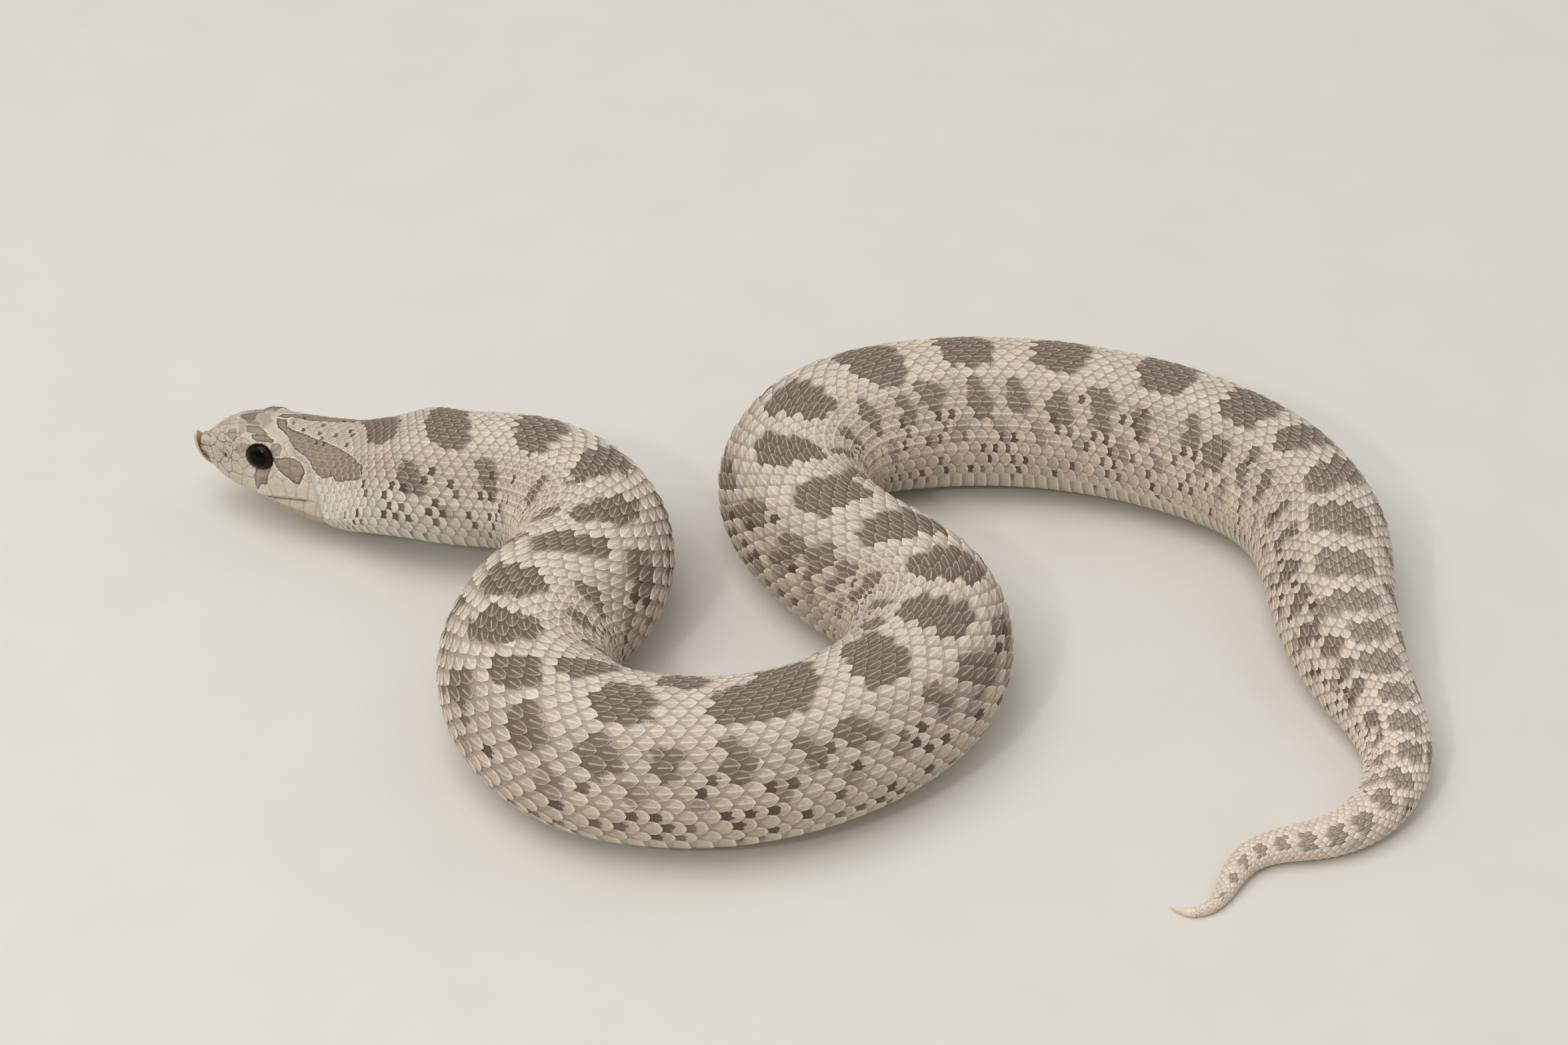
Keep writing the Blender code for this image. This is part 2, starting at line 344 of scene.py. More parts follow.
    def point(self, s: Array, angle: Array) -> Array:
        """Find points on the surface.

        Args:
            s: distances from the snout.
            angle: angles from the top.

        Returns:
            Their places in millimetres.
        """
        side, rise = self.section(s, angle)
        place, left = self.spine.at(s)
        return np.concatenate([place + side[..., None] * left, (self.axis(s) + rise)[..., None]], -1)

    def normal(self, s: Array, angle: Array) -> Array:
        """Find which way the surface faces.

        Args:
            s: distances from the snout.
            angle: angles from the top.

        Returns:
            Outward unit vectors.
        """
        near, turn = 0.15, 1.2
        along = self.point(s + near, angle) - self.point(s - near, angle)
        around = self.point(s, angle + turn) - self.point(s, angle - turn)
        out = np.cross(along, around)
        return out / np.maximum(np.linalg.norm(out, axis=-1, keepdims=True), 1e-9)

    def stretch(self, s: Array, angle: Array) -> Array:
        """How far the surface is stretched along the body by a bend: 1 on a straight length."""
        return np.linalg.norm(self.point(s + 0.5, angle) - self.point(s - 0.5, angle), axis=-1)

    def raised(self, s: Array, angle: Array, height: Array) -> Array:
        """Points at a height above the surface, in millimetres."""
        return self.point(s, angle) + self.normal(s, angle) * height[..., None]


# ---- The lie of the scales ----


@dataclass
class Lattice:
    """Rows and ranks of scales: row 0 runs down the spine, and ranks are counted from the snout."""

    form: Form
    back_line: Stations = (
        (0, 6), (22, 6), (32, 11), (60, 13), (72, 17), (81, 11), (91, 0), (101, -11), (112, -13),
        (122, -2), (135, 5), (150, 9), (165, 9), (180, 5), (194, -5), (205, -16), (216, -12),
        (229, -3), (243, 5), (255, 7), (270, 11), (285, 15), (340, 15), (353, 18), (362, 9),
        (372, 7), (386, 11), (403, 12), (412, 20), (426, 33), (440, 28), (457, 0),
    )
    rank_pitch: Stations = (
        (0, 1.35), (20, 1.4), (30, 1.5), (45, 1.8), (60, 2.15), (90, 2.55), (120, 2.8), (200, 2.85),
        (235, 2.7), (300, 2.45), (350, 2.3), (382, 2.0), (400, 1.6), (420, 1.35), (440, 1.1),
        (457, 0.85),
    )
    half_rows: Stations = (
        (0, 13.5), (290, 13.5), (345, 12.5), (385, 11.4), (402, 9.4), (430, 7.3), (448, 5.5), (457, 4.6),
    )
    scute_edge: Stations = ((0, 117.4), (380, 117.4), (400, 120.0), (457, 122.0))
    coat_depth: Stations = (
        (14, 0.14), (20, 0.22), (40, 0.32), (70, 0.38), (320, 0.38), (390, 0.28), (430, 0.18), (457, 0.1),
    )
    row_step: float = 6.8
    row_spread: float = 0.1403

    def __post_init__(self) -> None:
        """Count the ranks along the body once."""
        self.fine = np.arange(0, self.form.spine.length + 4, 0.25)
        density = 1 / course(self.rank_pitch, self.fine)
        self.count = np.concatenate([[0], np.cumsum((density[1:] + density[:-1]) / 2 * 0.25)])

    def rank(self, s: Array) -> Array:
        """Rank number at a distance."""
        return np.interp(s, self.fine, self.count)

    def along(self, rank: Array) -> Array:
        """Distance at a rank number."""
        return np.interp(rank, self.count, self.fine)

    def spread(self, row: Array) -> Array:
        """Angle from the back line of a row, before it is fitted to the body's number of rows."""
        return self.row_step * row + self.row_spread * row * np.abs(row)

    def angle(self, row: Array, s: Array) -> Array:
        """Place a row on the body; on the head, rows are shared out by girth.

        Args:
            row: row numbers.
            s: distances from the snout.

        Returns:
            Angles in degrees from the top.
        """
        edge = self.spread(course(self.half_rows, s))
        plain = course(self.back_line, s) + self.spread(row) * course(self.scute_edge, s) / edge
        on_head = ease(s, 48, 28)
        return plain * (1 - on_head) + self.form.shared_out(s, plain) * on_head

    def from_back(self, s: Array, angle: Array) -> Array:
        """Angle from the back line."""
        return angle - course(self.back_line, s)

    def depth(self, s: Array) -> Array:
        """Depth of the coat over the skin, in millimetres."""
        return course(self.coat_depth, s)


# ---- Markings ----


class Tone(Enum):
    """Colours of the animal, linear red, green and blue."""

    BACK = (0.65, 0.565, 0.472)
    FLANK = (0.50, 0.418, 0.345)
    LOW_FLANK = (0.57, 0.468, 0.365)
    BELLY = (0.63, 0.555, 0.435)
    CROWN = (0.545, 0.468, 0.392)
    LIP = (0.56, 0.497, 0.39)
    THROAT = (0.66, 0.61, 0.525)
    # yellowish chin colour darkened with painted shade, where the jaw lies near the ground
    CHIN = (0.45, 0.36, 0.22)
    BLOTCH = (0.168, 0.120, 0.087)
    SIDE_BLOTCH = (0.175, 0.125, 0.090)
    FLECK = (0.085, 0.052, 0.033)
    PATCH = (0.315, 0.25, 0.18)
    PATCH_DEEP = (0.22, 0.172, 0.127)
    PATCH_RIM = (0.075, 0.05, 0.036)
    # pale keel and rim colour, with painted highlight in it where keels and rims catch light
    KEEL = (0.86, 0.79, 0.71)
    GAP = (0.10, 0.07, 0.05)
    # dark colour between scales: painted shade, together with the darker skin that shows there
    PATCH_EDGE = (0.68, 0.62, 0.55)
    SUTURE = (0.17, 0.13, 0.10)
    # near-black painted shade for the inside of the nostrils and the inner edge of the eye sockets
    SOCKET = (0.018, 0.012, 0.009)
    TAIL_END = (0.82, 0.70, 0.59)
    SNOUT = (0.51, 0.44, 0.35)

    @property
    def rgb(self) -> Array:
        """The colour as an array."""
        return np.array(self.value, float)


@dataclass(frozen=True)
class Blotch:
    """One dark saddle across the back."""

    at: float
    length: float
    left: float
    right: float
    slant: float = 0.0

    def cover(self, s: Array, angle: Array) -> Array:
        """How fully the blotch covers each point.

        Args:
            s: distances from the snout.
            angle: angles from the top.

        Returns:
            Cover from 0 to 1.
        """
        middle, half = (self.left + self.right) / 2, (self.right - self.left) / 2
        across = (angle - middle) / half
        along = (s - self.at - self.slant * (angle - middle)) / (self.length / 2)
        return ease(np.abs(along) ** 2.6 + np.abs(across) ** 3.2, 1.28, 0.82)


@dataclass
class Markings:
    """All colours of skin and coat, by place on the body."""

    lattice: Lattice
    blotches: tuple[Blotch, ...] = tuple(Blotch(*row) for row in (
        (31.5, 6.4, -18, 42, -0.12), (44.6, 7.6, -20, 44, -0.05), (59.8, 7.2, -17, 44, -0.03),
        (71.2, 5.6, -13, 48, -0.05), (81.8, 5.2, -13, 35, -0.07), (91.0, 5.4, -24, 26, -0.09),
        (101.6, 6.4, -35, 13, 0.02), (111.0, 6.4, -36, 11, 0.07), (120.0, 7.0, -33, -3, 0.08),
        (127.2, 8.0, 4, 40, 0.15), (136.8, 10.2, -19, 14), (146.0, 9.6, 17, 48),
        (159.6, 17.6, -16, 24, 0.1), (164.5, 10.6, 10, 44), (179.8, 9.4, -21, 34, 0.05),
        (193.6, 6.8, -32, 21), (204.5, 7.0, -46, 14), (215.6, 7.8, -43, 20, 0.05),
        (229.2, 8.8, -31, 26, 0.03), (242.5, 6.6, -20, 32, 0.06), (255.0, 8.0, -22, 35),
        (269.8, 8.8, -21, 42, -0.05), (285.2, 9.0, -9, 44, -0.04), (301.5, 9.4, -10, 46),
        (319.4, 9.4, -13, 46), (334.4, 8.0, -16, 46), (344.3, 5.2, -15, 50),
        (353.0, 5.4, -13, 54, -0.06), (362.6, 6.4, -21, 41), (372.3, 5.8, -21, 35),
        (380.0, 4.2, -38, 36), (386.0, 4.0, -15, 39), (391.8, 4.2, -19, 40), (397.2, 3.6, -16, 43),
        (402.7, 3.5, -20, 45), (407.5, 3.3, -5, 50), (412.6, 3.0, -12, 47), (417.4, 2.8, -10, 52),
        (422.0, 2.7, 6, 62), (426.3, 2.4, 10, 68), (430.6, 2.2, 5, 66), (434.8, 2.0, 5, 60),
        (438.8, 1.8, 0, 60), (442.6, 1.6, 0, 55), (446.2, 1.5, 0, 55), (449.6, 1.3, 0, 50),
    ))
    left_spots: tuple[tuple[float, float], ...] = (
        (41.7, -50), (53.5, -45), (69.5, -38), (82.0, -34), (93.0, -52), (104.0, -60), (116.0, -58),
        (126.5, -43), (136.0, -41), (144.5, -43), (153.6, -43), (163.2, -44), (170.2, -41),
        (182.5, -46), (190.0, -55), (197.6, -62), (209.0, -72), (221.0, -66), (234.0, -42),
        (244.0, -44), (253.0, -46), (263.8, -44), (273.0, -43), (278.2, -35), (287.5, -38),
        (294.5, -35), (302.7, -40), (310.6, -37), (318.6, -42), (328.5, -36), (334.6, -44),
        (342.0, -38), (349.0, -43), (357.5, -46), (364.0, -46), (370.6, -48), (376.5, -47),
        (382.0, -52), (386.4, -38), (390.8, -38), (394.4, -42), (400.8, -40), (405.0, -38),
        (410.0, -34), (415.0, -32),
    )
    right_spots: tuple[tuple[float, float], ...] = (
        (38.0, 66), (50.0, 70), (64.0, 72), (76.0, 72), (87.0, 52), (97.0, 42), (106.0, 44),
        (117.0, 54), (134.0, 62), (150.0, 66), (162.0, 68), (174.0, 66), (188.0, 38), (197.0, 42),
        (208.0, 47), (216.6, 50), (222.0, 46), (227.2, 58), (236.0, 55), (244.5, 66), (257.0, 66),
        (268.0, 68), (277.0, 70), (287.0, 70), (296.0, 70), (305.0, 70), (314.0, 70), (324.0, 70),
        (333.0, 72), (341.0, 74), (349.0, 78), (358.0, 70), (366.0, 64), (376.0, 62), (386.0, 66),
        (396.0, 66), (406.0, 72), (415.0, 76), (424.0, 86),
    )
    spot_length: float = 4.3
    spot_span: float = 30.0
    tail_spots: float = 340.0
    tail_spot_size: float = 0.72
    low_shift: float = 3.4
    low_drop: float = 27.0
    low_size: float = 0.62

    def _spots(
        self, s: Array, angle: Array, shift: float = 0.0, drop: float = 0.0, grow: float = 1.0
    ) -> Array:
        """Cover of one series of side spots.

        Args:
            s: distances from the snout.
            angle: angles from the top.
            shift: moves the series towards the tail.
            drop: moves it down the flank, in degrees.
            grow: share of the full size.

        Returns:
            Cover from 0 to 1.
        """
        found = np.zeros_like(s)
        for spots in (self.left_spots, self.right_spots):
            for number, (at, middle) in enumerate(spots):
                size = 1 + 0.22 * math.sin(2.7 * number + at)
                length = self.spot_length * size * grow * (1 if at < self.tail_spots else self.tail_spot_size)
                span = self.spot_span * (1 + 0.18 * math.sin(1.9 * number)) * grow
                side = math.copysign(1, middle)
                along = (s - at - shift - 0.05 * (angle - middle) * side) / (length / 2)
                across = (angle - middle - side * drop) / (span / 2)
                near = ease(np.abs(along) ** 2.2 + np.abs(across) ** 2.4, 1.35, 0.7)
                found = np.maximum(found, near)
        return found

    def ground(self, s: Array, angle: Array) -> Array:
        """Pale ground colour between the dark marks.

        Args:
            s: distances from the snout.
            angle: angles from the top.

        Returns:
            Colours.
        """
        away = np.abs(self.lattice.from_back(s, angle))
        edge = course(self.lattice.scute_edge, s)
        colour = blend(Tone.BACK.rgb, Tone.FLANK.rgb, ease(away, 22, 48))
        colour = blend(colour, Tone.LOW_FLANK.rgb, ease(away, 58, 82))
        colour = blend(colour, Tone.PATCH.rgb, 0.3 * ease(away, 40, 18) * ease(s, 52, 38))
        colour = blend(colour, Tone.THROAT.rgb, ease(away, 64, 92) * ease(s, 74, 50))
        colour = blend(colour, Tone.BELLY.rgb, ease(away / edge, 0.93, 1.04))
        return blend(colour, Tone.TAIL_END.rgb, ease(s, 345, 425) * 0.8)

    def cover(self, s: Array, angle: Array) -> tuple[Array, ...]:
        """How far each point lies inside the dark marks.

        Args:
            s: distances from the snout.
            angle: angles from the top.

        Returns:
            Cover of the back's blotches and of the side spots, and the strength of each.
        """
        ragged_s = s + 0.45 * wobble(s, angle, 0.9, 1.3)
        ragged_angle = angle + 2.6 * wobble(s, angle, 0.8, 4.1)
        back = np.zeros_like(s)
        for blotch in self.blotches:
            back = np.maximum(back, blotch.cover(ragged_s, ragged_angle))
        side = self._spots(ragged_s, ragged_angle)
        low = self._spots(ragged_s, ragged_angle, self.low_shift, self.low_drop, self.low_size)
        dark = 0.96 - 0.22 * ease(s, 335, 380) - 0.1 * ease(s, 410, 445)
        faint = np.where(low > side, 0.6, 0.92) * (1 - 0.7 * ease(s, 400, 430))
        return back, np.maximum(side, low), dark, faint

    def body(self, s: Array, angle: Array) -> Array:
        """Colour of the neck, trunk and tail, marks and all.

        Args:
            s: distances from the snout.
            angle: angles from the top.

        Returns:
            Colours.
        """
        back, side, dark, faint = self.cover(s, angle)
        colour = blend(self.ground(s, angle), Tone.SIDE_BLOTCH.rgb, side * faint)
        return blend(colour, Tone.BLOTCH.rgb, back * dark)


# ---- Finishes ----


@dataclass
class Graph:
    """Wires the nodes of one material."""

    tree: bpy.types.NodeTree

    def __post_init__(self) -> None:
        """Start from the piece's own place."""
        self.place = self.tree.nodes.new("ShaderNodeTexCoord").outputs["Object"]

    def put(self, value: object, socket: Socket) -> None:
        """Feed a socket.

        Args:
            value: another socket's output, a colour or a number.
            socket: the socket to feed.
        """
        if isinstance(value, Socket):
            self.tree.links.new(value, socket)
        elif isinstance(value, (tuple, list)):
            socket.default_value = (*value, 1.0)[: len(socket.default_value)]
        else:
            socket.default_value = value

    def math(self, operation: str, *values: object) -> Socket:
        """Take one arithmetic step.

        Args:
            operation: the step's own name.
            values: what it works on, in order.

        Returns:
            The result.
        """
        node = self.tree.nodes.new("ShaderNodeMath")
        node.operation = operation
        for value, socket in zip(values, node.inputs):
            self.put(value, socket)
        return node.outputs[0]

    def times(self, first: object, *others: object) -> Socket:
        """Multiply several values.

        Args:
            first: the first value.
            others: those that it is multiplied by.

        Returns:
            Their product.
        """
        for other in others:
            first = self.math("MULTIPLY", first, other)
        return first

    def step(self, value: object, low: float, high: float) -> Socket:
        """Smooth step from 0 to 1.

        Args:
            value: what is read.
            low: where the step is 0, which may lie above high.
            high: where it is 1.

        Returns:
            The step's height.
        """
        node = self.tree.nodes.new("ShaderNodeMapRange")
        node.interpolation_type = "SMOOTHSTEP"
        self.put(value, node.inputs["Value"])
        node.inputs["From Min"].default_value = low
        node.inputs["From Max"].default_value = high
        return node.outputs["Result"]

    def mix(self, first: object, second: object, share: object) -> Socket:
        """Mix two colours.

        Args:
            first: colour at share 0.
            second: colour at share 1.
            share: how much of the second there is.

        Returns:
            The mixed colour.
        """
        node = self.tree.nodes.new("ShaderNodeMix")
        node.data_type = "RGBA"
        self.put(share, node.inputs[0])
        self.put(first, node.inputs[6])
        self.put(second, node.inputs[7])
        return node.outputs[2]

    def shade(self, colour: object, factor: object) -> Socket:
        """Make a colour brighter or darker.

        Args:
            colour: the colour.
            factor: what it is multiplied by.

        Returns:
            The new colour.
        """
        node = self.tree.nodes.new("ShaderNodeVectorMath")
        node.operation = "SCALE"
        self.put(colour, node.inputs[0])
        self.put(factor, node.inputs["Scale"])
        return node.outputs[0]

    def noise(self, scale: float, detail: float = 3.0) -> Socket:
        """Fine noise, from about -0.5 to 0.5.

        Args:
            scale: waves per metre.
            detail: how many finer layers it has.

        Returns:
            The noise.
        """
        node = self.tree.nodes.new("ShaderNodeTexNoise")
        node.inputs["Scale"].default_value = scale
        node.inputs["Detail"].default_value = detail
        self.tree.links.new(self.place, node.inputs["Vector"])
        return self.math("SUBTRACT", node.outputs["Fac"], 0.5)

    def mottled(self, colour: object, scale: float, amount: float) -> Socket:
        """Lay a fine uneven tone over a colour.

        Args:
            colour: the even colour.
            scale: fineness of the tone.
            amount: its strength.

        Returns:
            The uneven colour.
        """
        return self.shade(colour, self.math("MULTIPLY_ADD", self.noise(scale, 4.0), 4 * amount, 1.0))

    def channels(self, name: str) -> list[Socket]:
        """Read the four numbers of a vertex attribute.

        Args:
            name: the attribute's name.

        Returns:
            One socket for each number.
        """
        read = self.tree.nodes.new("ShaderNodeAttribute")
        read.attribute_name = name
        parts = self.tree.nodes.new("ShaderNodeSeparateColor")
        self.tree.links.new(read.outputs["Color"], parts.inputs[0])
        return [*parts.outputs, read.outputs["Alpha"]]

    def tone(self, name: str) -> Socket:
        """Read the colour held in a vertex attribute.

        Args:
            name: the attribute's name.

        Returns:
            The colour.
        """
        read = self.tree.nodes.new("ShaderNodeAttribute")
        read.attribute_name = name
        return read.outputs["Color"]

    def patched(self, ground: Socket) -> Socket:
        """Lay the head's dark patches, with ragged rims and pale borders, over a ground colour.

        Args:
            ground: the colour between the patches.

        Returns:
            The colour with the patches on it.
        """
        gap, _, depth, halo = self.channels(LINES)
        ragged = self.math("MULTIPLY_ADD", self.noise(2600, 4.0), 0.62, gap)
        border = self.times(self.step(ragged, 0.62, 0.12), halo, self.step(depth, 0.0, 0.2))
        ground = self.mix(ground, Tone.PATCH_EDGE.value, border)
        uneven = self.step(self.noise(1500, 4.0), -0.45, 0.15)
        filling = self.mix(Tone.PATCH_DEEP.value, Tone.PATCH.value, uneven)
        filling = self.mix(filling, Tone.PATCH_RIM.value, self.times(self.step(ragged, -0.55, -0.02), 0.85))
        return self.mix(ground, filling, self.times(self.step(ragged, 0.05, -0.06), depth))

    def bump(self, height: object, depth: float, strength: float, under: object = None) -> Socket:
        """Raise the surface.

        Args:
            height: share of the full depth, from 0 to 1.
            depth: the full depth in metres.
            strength: how strongly it shows.
            under: another bump that lies below, if there is one.

        Returns:
            The bumped normal.
        """
        node = self.tree.nodes.new("ShaderNodeBump")
        node.inputs["Distance"].default_value = depth
        node.inputs["Strength"].default_value = strength
        self.put(height, node.inputs["Height"])
        if under is not None:
            self.put(under, node.inputs["Normal"])
        return node.outputs[0]


@dataclass(frozen=True)
class Finish:
    """Sheen and fine grain of one surface of a single colour."""

    name: str
    rough: float
    grain_scale: float
    grain_depth: float
    mottle_scale: float = 900.0
    mottle: float = 0.12
    colour: Triple = (0.5, 0.5, 0.5)
    coat: float = 0.0
    specular: float = 0.5

    def material(self) -> bpy.types.Material:
        """Build the material once, and hand it out after that.

        Returns:
            The material.
        """
        found = bpy.data.materials.get(self.name)
        if found:
            return found
        made = bpy.data.materials.new(self.name)
        made.use_nodes = True
        graph = Graph(made.node_tree)
        shader = made.node_tree.nodes["Principled BSDF"]
        shader.inputs["Roughness"].default_value = self.rough
        shader.inputs["Specular IOR Level"].default_value = self.specular
        shader.inputs["Coat Weight"].default_value = self.coat
        shader.inputs["Coat Roughness"].default_value = 0.03
        graph.put(self.dress(graph), shader.inputs["Base Color"])
        graph.put(self.relief(graph), shader.inputs["Normal"])
        return made

    def dress(self, graph: Graph) -> Socket:
        """The surface's colour."""
        return graph.mottled(self.colour, self.mottle_scale, self.mottle)

    def relief(self, graph: Graph) -> Socket:
        """The surface's fine grain."""
        return graph.bump(graph.noise(self.grain_scale), self.grain_depth, 0.6)


@dataclass(frozen=True)
class PaintedFinish(Finish):
    """A surface that takes its colour from the markings alone."""

    def dress(self, graph: Graph) -> Socket:
        """The markings, slightly mottled."""
        return graph.mottled(graph.tone(MARKINGS), self.mottle_scale, self.mottle)


@dataclass(frozen=True)
class SkinFinish(Finish):
    """Bare skin and head shields, with their sutures, patches and flecks."""

    groove: float = 0.00007

    def dress(self, graph: Graph) -> Socket:
        """Lay patches with dark rims and pale borders, flecks and sutures over the ground colour.

        Args:
            graph: where the nodes go.

        Returns:
            The finished colour.
        """
        seam = graph.channels(LINES)[1]
        snout, bold, bare, _ = graph.channels(ZONES)
        colour = graph.patched(graph.mottled(graph.tone(MARKINGS), self.mottle_scale, self.mottle))
        spots = graph.times(graph.step(graph.noise(3300, 2.0), 0.10, 0.19), snout)
        colour = graph.mix(colour, Tone.FLECK.value, spots)
        thin = graph.math("MULTIPLY_ADD", graph.noise(5200, 2.0), 0.16, seam)
        return graph.mix(colour, Tone.SUTURE.value, graph.times(graph.step(thin, 0.12, 0.02), bold, bare))

    def relief(self, graph: Graph) -> Socket:
        """Grooved sutures over fine pitting."""
        groove = graph.step(graph.channels(LINES)[1], 0.0, 0.14)
        return graph.bump(groove, self.groove, 0.8, super().relief(graph))


@dataclass(frozen=True)
class ScaleFinish(Finish):
    """Scales: a keel and rim painted pale, partly their own colour and partly painted highlight; painted
    shade where one comes out from under the next; flecks.
    """

    # keel and rim: strengths of the pale lines, which are partly painted highlight
    keel: float = 0.8
    rim: float = 0.9
    # root: strength of the painted shade, with darker skin, where a scale comes out from under the next
    root: float = 0.55
    ragged: float = 0.7
    side_edge: tuple[float, float] = (0.34, 0.84)
    back_edge: tuple[float, float] = (0.34, 0.78)
    keel_edge: tuple[float, float] = (0.16, 0.04)
    rim_sides: tuple[float, float] = (0.76, 0.95)
    rim_tip: tuple[float, float] = (0.85, 0.96)
    root_shade_edge: tuple[float, float] = (0.40, 0.30)
    root_curve: float = -0.36
    fleck_middle: float = 0.36
    fleck_edge: tuple[float, float] = (1.15, 0.70)

    def dress(self, graph: Graph) -> Socket:
        """Lay the marks, the pale lines with their painted highlight, the painted shade at the root and the
        fleck over the scale's own colour.

        Args:
            graph: where the nodes go.

        Returns:
            The finished colour.
        """
        along, across, keeled, fleck = graph.channels(TILE)
        bold = graph.channels(MARKINGS)[3]
        out = graph.math("ABSOLUTE", across)
        own, marked = self._marks(graph)
        # pale lines along the keel and rim: partly the scale's own colour, partly painted highlight
        pale = graph.mix(own, Tone.KEEL.value, graph.math("ADD", graph.times(marked, -0.2), 0.6))
        ridge = graph.times(graph.step(out, *self.keel_edge), keeled, graph.step(along, 0.3, 0.5), self.keel)
        tint = graph.math("MAXIMUM", graph.step(out, 0.5, 0.97), graph.step(along, 0.62, 0.98))
        own = graph.shade(own, graph.math("MULTIPLY_ADD", tint, 0.20, 0.87))
        edge = graph.math("MAXIMUM", graph.step(out, *self.rim_sides), graph.step(along, *self.rim_tip))
        lines = graph.times(graph.math("MAXIMUM", ridge, graph.times(edge, self.rim)), bold)
        colour = graph.mix(own, pale, lines)
        uneven = graph.times(graph.noise(2200, 2.0), 0.08)
        emerge = graph.math("ADD", graph.math("MULTIPLY_ADD", out, self.root_curve, along), uneven)
        # painted shade, with darker skin, along the line where the scale comes out from under the one before
        shadow = graph.times(graph.step(emerge, *self.root_shade_edge), self.root, bold)
        colour = graph.mix(colour, graph.mix(own, Tone.GAP.value, 0.6), shadow)
        wide = graph.math("POWER", graph.times(out, 1.9), 2.0)
        spot = graph.math("MULTIPLY_ADD", graph.math("SUBTRACT", emerge, self.fleck_middle), 5.0, wide)
        spot = graph.math("ADD", spot, graph.times(graph.noise(1500, 3.0), 2.4))
        return graph.mix(colour, Tone.FLECK.value, graph.times(graph.step(spot, *self.fleck_edge), fleck))

    def _marks(self, graph: Graph) -> tuple[Socket, Socket]:
        """Draw the blotches and side spots with ragged edges, then the head's patches.

        Args:
            graph: where the nodes go.

        Returns:
            The marked colour, and how dark the marks are at each place.
        """
        back, side, dark, faint = graph.channels(SPOTS)
        edge = graph.times(graph.noise(3000, 4.0), self.ragged)
        side = graph.times(graph.step(graph.math("ADD", side, edge), *self.side_edge), faint)
        back = graph.times(graph.step(graph.math("ADD", back, edge), *self.back_edge), dark)
        own = graph.mix(graph.tone(MARKINGS), Tone.SIDE_BLOTCH.value, side)
        own = graph.patched(graph.mix(own, Tone.BLOTCH.value, back))
        own = graph.mottled(own, self.mottle_scale, self.mottle)
        return own, graph.math("MAXIMUM", back, side)


SKIN = SkinFinish("skin_finish", 0.56, 5200, 0.00004, 1500, 0.11, specular=0.4)
COAT = ScaleFinish("scale_finish", 0.58, 4200, 0.00004, 1700, 0.14, specular=0.38)
# the scutes carry the same painted shade at their roots
SCUTES = ScaleFinish("scute_finish", 0.4, 2600, 0.00003, 900, 0.08, keel=0.0, root=0.6)
HORN = Finish("horn_finish", 0.38, 3500, 0.00004, 1400, 0.14, (0.56, 0.485, 0.355))
TIP = Finish("tip_finish", 0.42, 3500, 0.00004, 1400, 0.14, (0.74, 0.62, 0.52))
EYE = PaintedFinish("eye_finish", 0.04, 2000, 0.000001, 2600, 0.1, specular=0.11)
FLOOR = Finish("floor_finish", 0.8, 900, 0.00002, 60, 0.02, (0.70, 0.68, 0.64))


# ---- Meshes ----


def make_object(name: str, mesh: Mesh, finish: Finish, sharp: float = 70.0) -> Piece:
    """Put a finished mesh in the scene.

    Args:
        name: the piece's name.
        mesh: its mesh, with its place in its vertices.
        finish: what it looks like.
        sharp: edges bent more than this many degrees stay crisp.

    Returns:
        The new object, at the origin.
    """
    mesh.name = name
    mesh.shade_smooth()
    mesh.set_sharp_from_angle(angle=math.radians(sharp))
    mesh.materials.clear()
    mesh.materials.append(finish.material())
    made = bpy.data.objects.new(name, mesh)
    bpy.context.scene.collection.objects.link(made)
    LOG.info("%s: %d faces", name, len(mesh.polygons))
    return made


def settle(piece: Piece, slot: str, *nodes: str) -> Piece:
    """Tie a piece to the frame, where it rides on the one body.

    Args:
        piece: the piece.
        slot: not used.
        nodes: solids that it stands for.

    Returns:
        The same piece.
    """
    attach(piece, "root")
    if nodes:
        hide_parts(*nodes)
    return piece


def taken(bm: bmesh.types.BMesh, name: str) -> Mesh:
    """Take a new mesh out of a bmesh and free the bmesh.

    Args:
        bm: what was built.
        name: the mesh's name.

    Returns:
        The mesh.
    """
    mesh = bpy.data.meshes.new(name)
    bm.to_mesh(mesh)
    bm.free()
    return mesh


def welded(mesh: Mesh) -> Mesh:
    """Merge a mesh's doubled vertices and turn its faces outwards.

    Args:
        mesh: the mesh, which is changed in place.

    Returns:
        The same mesh.
    """
    bm = bmesh.new()
    bm.from_mesh(mesh)
    bmesh.ops.remove_doubles(bm, verts=bm.verts, dist=MERGE)
    bmesh.ops.recalc_face_normals(bm, faces=bm.faces)
    bm.to_mesh(mesh)
    bm.free()
    return mesh


def corners_of(mesh: Mesh) -> Array:
    """Read the vertices' places, three numbers for each.

    Args:
        mesh: the mesh.

    Returns:
        The places.
    """
    flat = np.empty(len(mesh.vertices) * 3, np.float32)
    mesh.vertices.foreach_get("co", flat)
    return flat.reshape(-1, 3).astype(float)


def keep(mesh: Mesh, name: str, *columns: Array) -> None:
    """Store four numbers for each vertex under a name."""
    layer = mesh.color_attributes.new(name=name, type="FLOAT_COLOR", domain="POINT")
    layer.data.foreach_set("color", np.stack(columns, 1).astype(np.float32).ravel())


def paint(mesh: Mesh, colours: Array, bold: Array | float = 1.0) -> None:
    """Store a colour for each vertex as the markings attribute.

    Args:
        mesh: the mesh to colour.
        colours: three numbers for each vertex.
        bold: how strongly the lines of a scale show, from 0 to 1.
    """
    keep(mesh, MARKINGS, *np.clip(colours, 0, 1).T, np.broadcast_to(bold, len(colours)))


